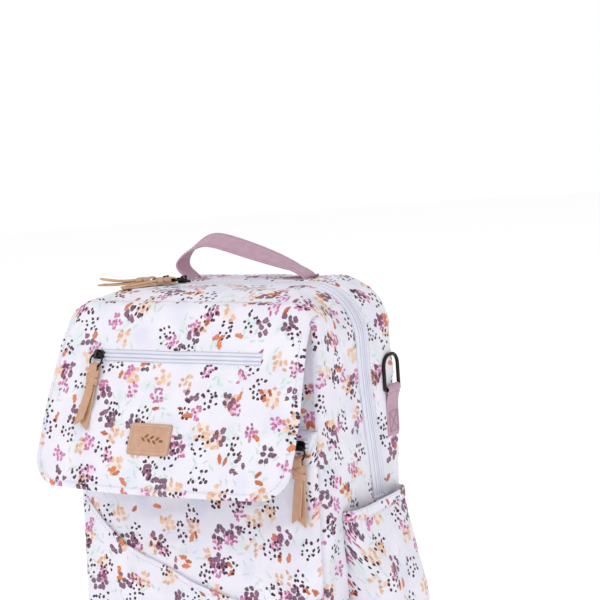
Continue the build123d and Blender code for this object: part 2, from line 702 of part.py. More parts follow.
# ======== back panel and shoulder straps
PAD_FACE = BACK_Y + PAD_THICK
with BuildPart() as back_pad:
    with BuildSketch(Plane.XZ.offset(-BACK_Y)):
        with Locations((0, (PAD_LOW + PAD_HIGH) / 2)):
            RectangleRounded(WIDTH - 2 * PAD_MARGIN, PAD_HIGH - PAD_LOW, PAD_CORNER)
    extrude(amount=-PAD_THICK)
finish_piece(back_pad, "back_pad")

YOKE_LOW = PAD_HIGH + FITTING_GAP
YOKE_FACE = BACK_Y + YOKE_THICK
with BuildPart() as strap_yoke:
    with BuildSketch(Plane.XZ.offset(-BACK_Y)):
        with Locations((0, YOKE_LOW + YOKE_HEIGHT / 2)):
            RectangleRounded(2 * (STRAP_X + YOKE_MARGIN) + STRAP_WIDE, YOKE_HEIGHT, YOKE_MARGIN)
    extrude(amount=-YOKE_THICK)
finish_piece(strap_yoke, "strap_yoke")

LOCK_WIDE, LOCK_TALL, LOCK_THICK = LOCK
LOCK_Y = PAD_FACE + LOCK_Y_OUT
STRAP_LOW_Y = LOCK_Y - STRAP_THICK / 2
for side, place in ((-1, "left"), (1, "right")):
    with BuildPart() as ladder_lock:
        with BuildSketch(Plane.XZ.offset(-LOCK_Y)):
            with Locations((side * STRAP_X, LOCK_Z)):
                RectangleRounded(LOCK_WIDE, LOCK_TALL, 4)
            rise = (LOCK_BAR + LOCK_SLOT) / 2
            with Locations((side * STRAP_X, LOCK_Z + rise), (side * STRAP_X, LOCK_Z - rise)):
                Rectangle(WEBBING + 2, LOCK_SLOT, mode=Mode.SUBTRACT)
        extrude(amount=LOCK_THICK / 2, both=True)
    finish_piece(ladder_lock, f"ladder_lock_{place}")
    with BuildPart() as strap:
        with BuildSketch(Plane.YZ.offset(side * STRAP_X - STRAP_WIDE / 2)):
            with BuildLine():
                inner = ThreePointArc(
                    (YOKE_FACE, YOKE_LOW + YOKE_HEIGHT / 2),
                    (PAD_FACE + STRAP_STAND_OFF, (YOKE_LOW + STRAP_END) / 2 + STRAP_BELLY_UP),
                    (STRAP_LOW_Y, STRAP_END),
                )
                outer = ThreePointArc(
                    (STRAP_LOW_Y + STRAP_THICK, STRAP_END),
                    (PAD_FACE + STRAP_STAND_OFF + STRAP_THICK, (YOKE_LOW + STRAP_END) / 2 + STRAP_BELLY_UP),
                    (YOKE_FACE + STRAP_THICK, YOKE_LOW + YOKE_HEIGHT - STRAP_TUCK - 2),
                )
                Line(inner @ 1, outer @ 0)
                Polyline(outer @ 1, (YOKE_FACE, YOKE_LOW + YOKE_HEIGHT - STRAP_TUCK), inner @ 0)
            make_face()
        extrude(amount=STRAP_WIDE)
        with BuildSketch(Plane.YZ.offset(side * STRAP_X - WEBBING / 2)):
            with Locations((LOCK_Y, (STRAP_END + LOCK_Z + rise) / 2 + 1)):
                Rectangle(LOCK_THICK + 3, STRAP_END - LOCK_Z - rise + 2)
        extrude(amount=WEBBING)
        add(ladder_lock.part, mode=Mode.SUBTRACT)
    finish_piece(strap, f"shoulder_strap_{place}")
    with BuildPart() as lower_webbing:
        with BuildSketch(Plane.YZ.offset(side * STRAP_X - WEBBING / 2)):
            with BuildLine():
                FilletPolyline(
                    (LOCK_Y + 5, LOCK_Z + 2),
                    (LOCK_Y + 4.5, LOCK_Z - 2),
                    (LOCK_Y - 5.5, LOCK_Z - 13),
                    (PAD_FACE + 3, PAD_LOW - 4),
                    (BACK_Y + STRAP_WEB_THICK / 2, PAD_LOW - 18),
                    (BACK_Y + STRAP_WEB_THICK / 2, STRAP_ANCHOR_Z),
                    radius=(1.5, 4, 6, 4),
                )
            trace(line_width=STRAP_WEB_THICK)
        extrude(amount=WEBBING)
        add(ladder_lock.part, mode=Mode.SUBTRACT)
    finish_piece(lower_webbing, f"lower_webbing_{place}")
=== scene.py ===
"""Looks of the diaper bag: printed cloth, zips, webbing, leather pulls, straps and their finishes.

Run by Blender as a script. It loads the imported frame, adds one piece or group of pieces per operator, and
rests every piece on the frame's bodies. Lengths in the functions are millimetres unless a name says metres.
"""

import math

import bpy
import numpy as np
from mathutils import Matrix, Vector


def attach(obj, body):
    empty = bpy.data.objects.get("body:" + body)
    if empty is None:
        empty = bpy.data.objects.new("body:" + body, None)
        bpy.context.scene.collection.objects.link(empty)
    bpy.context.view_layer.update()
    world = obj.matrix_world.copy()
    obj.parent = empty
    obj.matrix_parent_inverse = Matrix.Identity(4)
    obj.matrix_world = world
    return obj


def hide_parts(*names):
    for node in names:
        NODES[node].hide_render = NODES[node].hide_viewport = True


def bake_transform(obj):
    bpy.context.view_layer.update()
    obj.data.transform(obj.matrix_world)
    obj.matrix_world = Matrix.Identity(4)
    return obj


bl_info = {
    "name": "Diaper bag looks",
    "version": (1, 0, 0),
    "blender": (4, 5, 0),
    "location": "3D View > Sidebar > Diaper bag",
    "description": "Builds the cloth, trim and finishes of the diaper bag on its packed frame",
    "category": "Object",
}

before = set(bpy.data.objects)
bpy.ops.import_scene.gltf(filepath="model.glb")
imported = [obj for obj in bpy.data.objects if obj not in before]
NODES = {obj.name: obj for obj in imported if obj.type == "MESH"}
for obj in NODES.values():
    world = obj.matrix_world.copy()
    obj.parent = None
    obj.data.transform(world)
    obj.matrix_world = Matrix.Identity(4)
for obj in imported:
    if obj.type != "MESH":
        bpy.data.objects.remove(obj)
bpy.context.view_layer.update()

# ---- the frame's sizes, millimetres
HALF = 150.0
HEIGHT = 400.0
TOP_CORNER = 58.0
BASE_CORNER = 26.0
FRONT_TOP_Y = -76.0
FRONT_LEAN = 20.0
BACK_Y = 76.0
ZIP_Y = 12.0
TAPE = 11.8
FLAP_REST = math.radians(26.0)
FLAP_ORIGIN = np.array((0.0, -81.0, 388.0))
FLAP_DOWN = np.array((0.0, -math.sin(FLAP_REST), -math.cos(FLAP_REST)))
FLAP_OUT = np.array((0.0, -math.cos(FLAP_REST), math.sin(FLAP_REST)))
FLAP_FACE = 4.4
FLAP_LONG = 190.0
FLAP_HALF = 155.0
FLAP_CORNER = 32.0
FLAP_ZIP_DOWN = 54.0
LABEL_X = -10.0
LABEL_DOWN = 139.0
POCKET_DEEP = 12.0
POCKET_HALF = 148.0
POCKET_TOP = 266.0
POCKET_LOW = 8.0
POCKET_ZIP_Z = 254.0
SHOULDER_X = 72.0
WEBBING = 25.0
HANDLE_Y = 42.0
TAB_Y = 60.0
TAB_LOOP_X = 154.6
TAB_LOOP_Z = 282.3
YOKE_Z = 367.6
PULL_EYE_OUT = 5.3

CAMERA_TURN = math.radians(32.02)
CAMERA_RISE = math.radians(7.46)
CAMERA_ROLL = math.radians(-4.19)
CAMERA_FAR = 1.8623
CAMERA_LENS = 103.68
CAMERA_ASIDE = 0.07296
CAMERA_HIGH = 0.1769


# ======== number helpers
def soft_step(value, low, high):
    """0 below low, 1 above high, and a smooth climb between."""
    t = np.clip((value - low) / (high - low), 0.0, 1.0)
    return t * t * (3 - 2 * t)


def ripple(a, b, seed, wavelength, count=8):
    """Unevenness between about -1 and 1: a sum of sines of a and b, each in its own direction and length."""
    total = np.zeros(np.broadcast(a, b).shape)
    for turn, phase, stretch in np.random.default_rng(seed).random((count, 3)):
        step = 2 * np.pi / (wavelength * (0.6 + 0.9 * stretch))
        total += np.sin(step * (a * np.cos(2 * np.pi * turn) + b * np.sin(2 * np.pi * turn)) + 2
                        * np.pi * phase)
    return total / math.sqrt(count)


def rounded(radius, into):
    """Drop of a quarter circle of a radius at a distance into it: 0 at its start, the radius at its end."""
    return radius - np.sqrt(np.maximum(radius**2 - into**2, 0))


def unit(vectors):
    """The vectors, each with a length of one."""
    return vectors / np.maximum(np.linalg.norm(vectors, axis=-1, keepdims=True), 1e-9)


def resample(line, pitch):
    """Points at an even pitch along a line, and each one's place counted in the line's own points."""
    steps = np.linalg.norm(np.diff(line, axis=0), axis=1)
    along = np.concatenate(([0.0], np.cumsum(steps)))
    places = np.arange(pitch / 2, along[-1], pitch)
    index = np.interp(places, along, np.arange(len(line)))
    points = np.stack([np.interp(places, along, line[:, k]) for k in range(3)], 1)
    return points, index


def smooth_path(corners, pitch=2.0, rounds=4):
    """A path near the corners: corners cut again and again, then points at an even pitch."""
    path = np.asarray(corners, float)
    for _ in range(rounds):
        near = path[:-1] * 0.75 + path[1:] * 0.25
        far = path[:-1] * 0.25 + path[1:] * 0.75
        path = np.concatenate((path[:1], np.stack((near, far), 1).reshape(-1, path.shape[1]), path[-1:]))
    along = np.concatenate(([0.0], np.cumsum(np.linalg.norm(np.diff(path, axis=0), axis=1))))
    places = np.linspace(0, along[-1], max(8, int(along[-1] / pitch)))
    return np.stack([np.interp(places, along, path[:, k]) for k in range(path.shape[1])], 1)


def front_at(height):
    """y of the front panel at a height."""
    return FRONT_TOP_Y - FRONT_LEAN * (HEIGHT - height) / HEIGHT


def slant(height):
    """How far the main zip has sagged backward on the sides, at a height."""
    return 15.0 * soft_step(330.0 - height, 0.0, 170.0) * soft_step(height, 0.0, 60.0)


def unrolled(points, across, up):
    """Cloth coordinates of a grid: lengths along its rows and columns, counted from a place on the cloth."""
    u = np.cumsum(np.linalg.norm(np.diff(points, axis=1, prepend=points[:, :1]), axis=2), 1)
    v = np.cumsum(np.linalg.norm(np.diff(points, axis=0, prepend=points[:1]), axis=2), 0)
    middle = u.shape[1] // 2
    return np.stack((u - u[:, middle : middle + 1] + across, v + up), -1)


def band_section(width, thick, edge=0.5, across=9):
    """Closed section of a flat strip with rounded edges: -width/2 to width/2 across, 0 to thick out."""
    x = np.linspace(-width / 2 + edge, width / 2 - edge, across)
    turn = np.linspace(-np.pi / 2, np.pi / 2, 5)
    lift = thick / 2
    right = np.stack((width / 2 - edge + edge * np.cos(turn), lift + lift * np.sin(turn)), 1)
    left = np.stack((-width / 2 + edge - edge * np.cos(turn), lift - lift * np.sin(turn)), 1)
    low = np.stack((x, np.zeros(across)), 1)[1:-1]
    high = np.stack((x[::-1], np.full(across, thick)), 1)[1:-1]
    return np.concatenate((low, right, high, left))


# ======== meshes
class Shape:
    """Gathers surfaces into one mesh: points in millimetres, cloth coordinates, a finish per face."""

    def __init__(self):
        self.points = []
        self.uvs = []
        self.faces = []
        self.finishes = []
        self.count = 0

    def add(self, points, faces, uv=None, finish=0, away=None):
        """Add a surface, its faces turned away from the point `away`, or outward where it is closed."""
        points = np.asarray(points, float).reshape(-1, 3)
        uv = np.zeros((len(points), 2)) if uv is None else np.asarray(uv, float).reshape(-1, 2)
        corners = points[faces]
        centre = corners.mean(1)
        normal = np.cross(corners[:, 2] - corners[:, 0], corners[:, -1] - corners[:, 1])
        origin = centre.mean(0) if away is None else np.asarray(away, float)
        if np.sum((centre - origin) * normal) < 0:
            faces = faces[:, ::-1]
        self.points.append(points)
        self.uvs.append(uv / 1000.0)
        self.faces += (faces + self.count).tolist()
        self.finishes.append(np.full(len(faces), finish))
        self.count += len(points)

    def grid(self, points, uv=None, finish=0, away=None, close_rows=False, close_columns=False):
        """Add a grid of rows by columns of points."""
        rows, columns = points.shape[:2]
        index = np.arange(rows * columns).reshape(rows, columns)
        if close_rows:
            index = np.vstack((index, index[:1]))
        if close_columns:
            index = np.hstack((index, index[:, :1]))
        faces = np.stack((index[:-1, :-1], index[1:, :-1], index[1:, 1:], index[:-1, 1:]),
                         -1).reshape(-1, 4)
        self.add(points, faces, uv, finish, away)

    def sweep(self, path, side, section, finish=0, out=None, closed=False, grow=None):
        """Carry a section along a path: point = path + side * across + out * height, capped at both ends."""
        path = np.asarray(path, float)
        side = unit(np.broadcast_to(np.asarray(side, float), path.shape))
        if closed:
            tangent = unit(np.roll(path, -1, 0) - np.roll(path, 1, 0))
        else:
            tangent = unit(np.gradient(path, axis=0))
        out = np.cross(side, tangent) if out is None else np.broadcast_to(np.asarray(out, float),
            path.shape)
        out = unit(out)
        size = np.ones((len(path), 2)) if grow is None else np.asarray(grow, float)
        across = section[None, :, 0] * size[:, :1]
        height = section[None, :, 1] * size[:, 1:]
        points = path[:, None] + side[:, None] * across[..., None] + out[:, None] * height[..., None]
        along = np.concatenate(([0.0], np.cumsum(np.linalg.norm(np.diff(path, axis=0), axis=1))))
        uv = np.stack((across, np.broadcast_to(along[:, None], across.shape)), -1)
        rows, columns = points.shape[:2]
        index = np.arange(rows * columns).reshape(rows, columns)
        index = np.hstack((index, index[:, :1]))
        if closed:
            index = np.vstack((index, index[:1]))
        quads = np.stack((index[:-1, :-1], index[1:, :-1], index[1:, 1:], index[:-1, 1:]),
                         -1).reshape(-1, 4)
        points = points.reshape(-1, 3)
        uv = uv.reshape(-1, 2)
        if closed:
            self.add(points, quads, uv, finish, away=None)
            return
        ends = np.stack((points[:columns].mean(0), points[-columns:].mean(0)))
        first = np.arange(columns)
        last = first + (rows - 1) * columns
        centre = rows * columns
        caps = np.concatenate(
            (
                np.stack((np.full(columns, centre), np.roll(first, -1), first, first), 1),
                np.stack((np.full(columns, centre + 1), last, np.roll(last, -1), np.roll(last, -1)), 1),
            )
        )
        points = np.concatenate((points, ends))
        uv = np.concatenate((uv, uv[[0, -1]]))
        corners = points[quads]
        normal = np.cross(corners[:, 2] - corners[:, 0], corners[:, 3] - corners[:, 1])
        if np.sum((corners.mean(1) - corners.mean((0, 1))) * normal) < 0:
            quads = quads[:, ::-1]
            caps = caps[:, ::-1]
        self.points.append(points)
        self.uvs.append(uv / 1000.0)
        self.faces += (quads + self.count).tolist()
        self.faces += [list(dict.fromkeys(face)) for face in (caps + self.count).tolist()]
        self.finishes.append(np.full(len(quads) + len(caps), finish))
        self.count += len(points)

    def stitches(self, line, out, long=2.7, pitch=3.9, thick=0.42, finish=0):
        """Add a row of stitches: small capsules of six sides, laid end to end along a line, half sunk."""
        line = np.asarray(line, float)
        out = np.broadcast_to(np.asarray(out, float), line.shape)
        points, index = resample(line, pitch)
        if len(points) < 2:
            return
        lifted = unit(np.stack([np.interp(index, np.arange(len(line)), out[:, k]) for k in range(3)], 1))
        tangent = unit(np.gradient(points, axis=0))
        side = unit(np.cross(lifted, tangent))
        turn = np.linspace(0, 2 * np.pi, 6, endpoint=False)
        ring = (np.cos(turn)[:, None, None] * side + np.sin(turn)[:, None, None] * lifted) * thick
        middle = points + lifted * thick * 0.3
        rows = [middle - tangent * long * 0.5 - lifted * thick * 0.5]
        rows += [middle - tangent * long * 0.34 + r for r in ring]
        rows += [middle + tangent * long * 0.34 + r for r in ring]
        rows += [middle + tangent * long * 0.5 - lifted * thick * 0.5]
        block = np.stack(rows, 1)
        near = np.arange(1, 7)
        far = np.arange(7, 13)
        sides = np.stack((near, np.roll(near, -1), np.roll(far, -1), far), 1)
        tips = np.concatenate(
            (
                np.stack((np.zeros(6, int), np.roll(near, -1), near), 1),
                np.stack((np.full(6, 13), far, np.roll(far, -1)), 1),
            )
        )
        shift = (np.arange(len(points)) * 14)[:, None, None]
        corners = block[0][sides]
        normal = np.cross(corners[:, 2] - corners[:, 0], corners[:, 3] - corners[:, 1])
        if np.sum((corners.mean(1) - block[0].mean(0)) * normal) < 0:
            sides = sides[:, ::-1]
            tips = tips[:, ::-1]
        quads = (sides[None] + shift).reshape(-1, 4)
        ends = (tips[None] + shift).reshape(-1, 3)
        self.points.append(block.reshape(-1, 3))
        self.uvs.append(np.zeros((block.shape[0] * 14, 2)))
        self.faces += (quads + self.count).tolist()
        self.faces += (ends + self.count).tolist()
        self.finishes.append(np.full(len(quads) + len(ends), finish))
        self.count += block.shape[0] * 14

    def piece(self, name, finishes):
        """Make the object, smooth shaded, with its cloth coordinates and its finishes."""
        mesh = bpy.data.meshes.new(name)
        mesh.from_pydata((np.concatenate(self.points) / 1000.0).tolist(), [], self.faces)
        mesh.polygons.foreach_set("use_smooth", np.ones(len(mesh.polygons), bool))
        mesh.polygons.foreach_set("material_index", np.concatenate(self.finishes).astype(np.int32))
        corner = np.zeros(len(mesh.loops), np.int32)
        mesh.loops.foreach_get("vertex_index", corner)
        layer = mesh.uv_layers.new(name="cloth")
        layer.data.foreach_set("uv", np.concatenate(self.uvs)[corner].astype(np.float32).ravel())
        for finish in finishes:
            mesh.materials.append(bpy.data.materials[finish])
        mesh.update()
        piece = bpy.data.objects.new(name, mesh)
        bpy.context.scene.collection.objects.link(piece)
        return piece


def read(items, name):
    """Values of one vector property of a mesh's vertices or faces, a row for each."""
    values = np.zeros(len(items) * 3, np.float32)
    items.foreach_get(name, values)
    return values.reshape(-1, 3)


def rest_on(piece, bodies, nodes=()):
    """Hide the frame's nodes that a piece stands for, and hang the piece on the body it moves with; a piece
    of two bodies only has its place baked in.
    """
    if nodes:
        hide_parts(*nodes)
    if isinstance(bodies, str):
        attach(piece, bodies)
    else:
        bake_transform(piece)
    return piece


MOUTH_LINE = ((0, -0.09, 0.168), (0, -0.09, 0.204))


# ======== finishes
def colour(code, share=1.0):
    """Linear colour of an sRGB hex code, for a shader."""
    values = [int(code[k : k + 2], 16) / 255 for k in (1, 3, 5)]
    linear = [v / 12.92 if v <= 0.04045 else ((v + 0.055) / 1.055) ** 2.4 for v in values]
    return (*[v * share for v in linear], 1.0)


def node(tree, kind, inputs=(), output=0, **settings):
    """Add a shader node with its settings, link or set its inputs, and return one of its outputs."""
    made = tree.nodes.new("ShaderNode" + kind)
    for name, value in settings.items():
        setattr(made, name, value)
    for name, value in dict(inputs).items():
        if isinstance(value, bpy.types.NodeSocket):
            tree.links.new(value, made.inputs[name])
        else:
            made.inputs[name].default_value = value
    return made.outputs[output]


def finish_of(name, **sockets):
    """A new material with a Principled surface; returns its node tree and the surface node."""
    material = bpy.data.materials.new(name)
    material.use_nodes = True
    tree = material.node_tree
    surface = tree.nodes["Principled BSDF"]
    for socket, value in sockets.items():
        surface.inputs[socket.replace("_", " ")].default_value = value
    return tree, surface


def millimetres_of(tree, scale=(1000.0, 1000.0, 1000.0)):
    """Place on the object in millimetres."""
    spot = node(tree, "TexCoord", output="Object")
    return node(tree, "VectorMath", {0: spot, 1: scale}, operation="MULTIPLY")


def speckle(tree, place, scale, low, high, detail=3.0):
    """Noise of a size, spread between two values."""
    noise = node(tree, "TexNoise", {"Vector": place, "Scale": scale, "Detail": detail}, output="Fac")
    return node(tree, "MapRange", {"Value": noise, "From Min": 0.3, "From Max": 0.7, "To Min": low,
                                   "To Max": high})


def bump(tree, surface, height, distance, strength=1.0, below=None):
    """Bump in metres of height on a surface; below is a bump that it lies on."""
    inputs = {"Height": height, "Distance": distance, "Strength": strength}
    if below is not None:
        inputs["Normal"] = below
    normal = node(tree, "Bump", inputs)
    tree.links.new(normal, surface.inputs["Normal"])
    return normal


# Motifs of the print, bottom to top. Sizes in millimetres: the family whose clusters it shares, the spacing
# of the motifs, half their length and half their width, the share of places that has one, raggedness,
# softness of the edge, strength; then the spacing and radius of the family's clusters (0 for a motif that
# sits at the clusters' middles), and its two tints.
MOTIFS = (
    (0, 53, 19, 14, 0.8, 9.0, 0.7, 0.35, 0, 0, "#C6C8E4", "#D3D8E8"),
    (1, 38, 12.5, 8.0, 0.8, 8.0, 0.85, 0.5, 0, 0, "#B9D8CB", "#D2E6DC"),
    (1, 10, 5.8, 1.6, 0.8, 3.6, 0.6, 0.7, 40, 15, "#A3C4B3", "#BDD6CE"),
    (2, 47, 11.5, 9.5, 0.85, 6.0, 0.8, 0.6, 0, 0, "#EFC8A4", "#EED6C4"),
    (2, 6.2, 4.2, 2.8, 0.84, 3.4, 0.5, 0.9, 47, 10.0, "#C5824C", "#EDC19A"),
    (3, 45, 8.6, 7.6, 0.85, 4.0, 0.8, 0.5, 0, 0, "#DB9CC4", "#E3B9D6"),
    (3, 4.4, 2.9, 2.0, 0.86, 2.2, 0.35, 0.95, 45, 8.2, "#9A1F6A", "#D476B2"),
    (4, 6.2, 4.0, 3.1, 0.86, 2.4, 0.25, 0.95, 50, 9.6, "#3F0A2C", "#85446A"),
    (5, 10.0, 6.2, 2.7, 0.74, 3.6, 0.25, 0.97, 46, 7.8, "#A84010", "#DF7A32"),
    (6, 5.6, 2.0, 1.6, 0.9, 0.6, 0.16, 1.0, 41, 11.0, "#31051F", "#4A102F"),
)


def printed_cloth(name, ground, wear):
    """Coated polyester twill with a watercolour flower print, in the cloth's own coordinates.

    Each motif sits at a cell point of a Voronoi pattern. Its turn, size and tint come from the cell's random
    colour. It is an oval where the turned place divided by its half sizes is shorter than one, made ragged by
    a noise.
    """
    tree, surface = finish_of(name, Roughness=0.5, IOR=1.47, Specular_IOR_Level=0.28)
    cloth = node(tree, "UVMap", output="UV", uv_map="cloth")
    place = node(tree, "VectorMath", {0: cloth, 1: (1000.0, 1000.0, 1.0)}, operation="MULTIPLY")
    ragged = node(tree, "TexNoise", {"Vector": place, "Scale": 0.32, "Detail": 3.0}, output="Color",
                  noise_dimensions="2D")
    ragged = node(tree, "VectorMath", {0: ragged, 1: (0.5, 0.5, 0.5)}, operation="SUBTRACT")
    stain = node(tree, "TexNoise", {"Vector": place, "Scale": 0.55, "Detail": 4.0, "Roughness": 0.6},
                 output="Fac",
                 noise_dimensions="2D")
    broad = node(tree, "TexNoise", {"Vector": place, "Scale": 0.03, "Detail": 2.0}, output="Fac",
                 noise_dimensions="2D")
    base = node(tree, "Mix", {"Factor": broad, 6: colour(ground, 0.97), 7: colour("#ECEAF2")}, output=2,
                data_type="RGBA")
    for motif in MOTIFS:
        family, spacing, long, short, share, rag, soft, strong, group, radius, first, second = motif
        shift = (31.7 * family + 11.0, 17.3 * family + 5.0, 0.0)
        moved = node(tree, "VectorMath", {0: ragged, 1: (rag, rag, 0.0), 2: place},
                     operation="MULTIPLY_ADD")
        moved = node(tree, "VectorMath", {0: moved, 1: shift}, operation="ADD")
        settings = {"voronoi_dimensions": "2D", "feature": "F1"}
        cell = node(tree, "TexVoronoi", {"Vector": moved, "Scale": 1.0 / spacing, "Randomness": 0.8},
                    **settings).node
        local = node(tree, "VectorMath", {0: moved, 1: cell.outputs["Position"]}, operation="SUBTRACT")
        chance = node(tree, "SeparateColor", {"Color": cell.outputs["Color"]}).node
        turn = node(tree, "Math", {0: chance.outputs[0], 1: 6.283}, operation="MULTIPLY")
        local = node(tree, "VectorRotate", {"Vector": local, "Angle": turn}, rotation_type="Z_AXIS")
        sized = node(tree, "VectorMath", {0: local, 1: (1.0 / long, 1.0 / short, 0.0)},
                     operation="MULTIPLY")
        reach = node(tree, "VectorMath", {0: sized}, output="Value", operation="LENGTH")
        size = node(tree, "Math", {0: chance.outputs[1], 1: 0.4, 2: 0.78}, operation="MULTIPLY_ADD")
        reach = node(tree, "Math", {0: reach, 1: size}, operation="DIVIDE")
        mask = node(tree, "MapRange", {"Value": reach, "From Min": 1 - soft, "From Max": 1.0,
            "To Min": strong, "To Max": 0.0},
                    interpolation_type="SMOOTHSTEP")
        shown = node(tree, "Math", {0: chance.outputs[2], 1: share}, operation="LESS_THAN")
        mask = node(tree, "Math", {0: mask, 1: shown}, operation="MULTIPLY")
        if group:
            middle = cell.outputs["Position"]
            bunch = node(tree, "TexVoronoi",
                         {"Vector": middle, "Scale": 1.0 / group, "Randomness": 0.8}, **settings)
            near = node(tree, "Math", {0: bunch, 1: radius / group}, operation="LESS_THAN")
            mask = node(tree, "Math", {0: mask, 1: near}, operation="MULTIPLY")
        thin = node(tree, "MapRange", {"Value": stain, "From Min": 0.3, "From Max": 0.55,
            "To Min": 1 - 0.8 * soft, "To Max": 1.0})
        mask = node(tree, "Math", {0: mask, 1: thin}, operation="MULTIPLY")
        tint = node(tree, "Mix",
                    {"Factor": chance.outputs[1], 6: colour(first), 7: colour(second)}, output=2,
                    data_type="RGBA")
        rim = node(tree, "MapRange", {"Value": reach, "From Min": 0.5, "From Max": 0.95, "To Min": 0.0,
            "To Max": 0.55})
        tint = node(tree, "Mix", {"Factor": rim, 6: tint, 7: colour(first, 0.92)}, output=2,
                    data_type="RGBA")
        base = node(tree, "Mix", {"Factor": mask, 6: base, 7: tint}, output=2, data_type="RGBA")
    tree.links.new(base, surface.inputs["Base Color"])
    gloss = speckle(tree, place, 0.06, 0.5 - wear, 0.5 + wear)
    tree.links.new(gloss, surface.inputs["Roughness"])
    # twill: fine slanted ribs 0.7 mm apart under a slow unevenness
    slant = node(tree, "VectorRotate", {"Vector": place, "Angle": math.radians(58)}, rotation_type="Z_AXIS")
    ribs = node(tree, "TexWave", {"Vector": slant, "Scale": 0.45, "Distortion": 1.2, "Detail": 2.0},
                output="Fac")
    slow = node(tree, "TexNoise", {"Vector": place, "Scale": 0.09, "Detail": 4.0}, output="Fac",
                noise_dimensions="2D")
    under = node(tree, "Bump", {"Height": slow, "Distance": 0.0016, "Strength": 0.5})
    bump(tree, surface, ribs, 0.00008, 0.35, under)


def plain_cloth(name, code, other, rib, height, roughness, sheen=0.0):
    """Woven or knitted cloth: two close tints in a slow noise, and crossing ribs `rib` millimetres apart."""
    tree, surface = finish_of(name, Roughness=roughness, Sheen_Weight=sheen)
    millimetres = millimetres_of(tree)
    tint = speckle(tree, millimetres, 0.05, 0.0, 1.0)
    fine = speckle(tree, millimetres, 1.1, 0.92, 1.0)
    shade = node(tree, "Mix", {"Factor": tint, 6: colour(code), 7: colour(other)}, output=2,
                 data_type="RGBA")
    shade = node(tree, "VectorMath", {0: shade, "Scale": fine}, operation="SCALE")
    tree.links.new(shade, surface.inputs["Base Color"])
    one = node(tree, "TexWave", {"Vector": millimetres, "Scale": 0.314 / rib, "Distortion": 0.6},
               output="Fac",
               bands_direction="DIAGONAL")
    two = node(tree, "TexWave", {"Vector": millimetres, "Scale": 0.314 / rib, "Distortion": 0.6},
               output="Fac",
               bands_direction="Z")
    weave = node(tree, "Math", {0: one, 1: two}, operation="MULTIPLY")
    bump(tree, surface, weave, height, 0.7)


def webbing_finish(name, code, other):
    """Herringbone webbing: slanted ribs that turn back every 4.2 mm across the strip."""
    tree, surface = finish_of(name, Roughness=0.78, Sheen_Weight=0.12)
    cloth = node(tree, "UVMap", output="UV", uv_map="cloth")
    place = node(tree, "VectorMath", {0: cloth, 1: (1000.0, 1000.0, 1.0)}, operation="MULTIPLY")
    parts = node(tree, "SeparateXYZ", {0: place}).node
    fold = node(tree, "Math", {0: parts.outputs[0], 1: 4.2}, operation="PINGPONG")
    line = node(tree, "Math", {0: fold, 1: 0.85, 2: parts.outputs[1]}, operation="MULTIPLY_ADD")
    rib = node(tree, "Math", {0: line, 1: 2 * math.pi / 1.5}, operation="MULTIPLY")
    rib = node(tree, "Math", {0: rib}, operation="SINE")
    edge = node(tree, "Math", {0: parts.outputs[0]}, operation="ABSOLUTE")
    rim = node(tree, "MapRange", {"Value": edge, "From Min": WEBBING / 2 - 1.8,
                                  "From Max": WEBBING / 2 - 1.2})
    # the colour follows the ribs, darker in their valleys and lighter on their crests: painted shade and
    # highlight of the weave
    shade = node(tree, "MapRange", {"Value": rib, "From Min": -1.0, "From Max": 1.0, "To Min": 0.8,
                                    "To Max": 1.06})
    patch = speckle(tree, place, 0.12, 0.0, 1.0)
    tint = node(tree, "Mix", {"Factor": patch, 6: colour(code), 7: colour(other)}, output=2,
                data_type="RGBA")
    tint = node(tree, "VectorMath", {0: tint, "Scale": shade}, operation="SCALE")
    tree.links.new(tint, surface.inputs["Base Color"])
    height = node(tree, "Mix", {"Factor": rim, 2: rib, 3: 1.0}, data_type="FLOAT")
    bump(tree, surface, height, 0.00018, 0.7)


def leather_finish(name, code, other, grain, height, roughness):
    """Vegetable tanned leather: pores from a cell pattern of about `grain` millimetres, warm mottling."""
    tree, surface = finish_of(name, Roughness=roughness, IOR=1.5)
    millimetres = millimetres_of(tree)
    mottle = speckle(tree, millimetres, 0.13, 0.0, 1.0, detail=5.0)
    shade = node(tree, "Mix", {"Factor": mottle, 6: colour(code), 7: colour(other)}, output=2,
                 data_type="RGBA")
    pores = node(tree, "TexVoronoi", {"Vector": millimetres, "Scale": 1.0 / grain},
                 feature="DISTANCE_TO_EDGE")
    pores = node(tree, "MapRange", {"Value": pores, "From Min": 0.0, "From Max": 0.22})
    dark = node(tree, "MapRange", {"Value": pores, "To Min": 0.82, "To Max": 1.0})
    shade = node(tree, "VectorMath", {0: shade, "Scale": dark}, operation="SCALE")
    tree.links.new(shade, surface.inputs["Base Color"])
    tree.links.new(speckle(tree, millimetres, 0.4, roughness - 0.08, roughness + 0.1),
                   surface.inputs["Roughness"])
    bump(tree, surface, pores, height, 0.6)


def hard_finish(name, code, roughness, metallic, scale, coat=0.0):
    """Metal or plastic: its tint and gloss wander a little with a noise of scale per millimetre."""
    tree, surface = finish_of(name, Metallic=metallic, Coat_Weight=coat)
    millimetres = millimetres_of(tree)
    level = speckle(tree, millimetres, scale, 0.86, 1.08)
    shade = node(tree, "VectorMath", {0: colour(code)[:3], "Scale": level}, operation="SCALE")
    tree.links.new(shade, surface.inputs["Base Color"])
    tree.links.new(speckle(tree, millimetres, scale * 2, roughness - 0.06, roughness + 0.08),
                   surface.inputs["Roughness"])
    grain = node(tree, "TexNoise", {"Vector": millimetres, "Scale": 3.0, "Detail": 2.0}, output="Fac")
    bump(tree, surface, grain, 0.00002, 0.5)


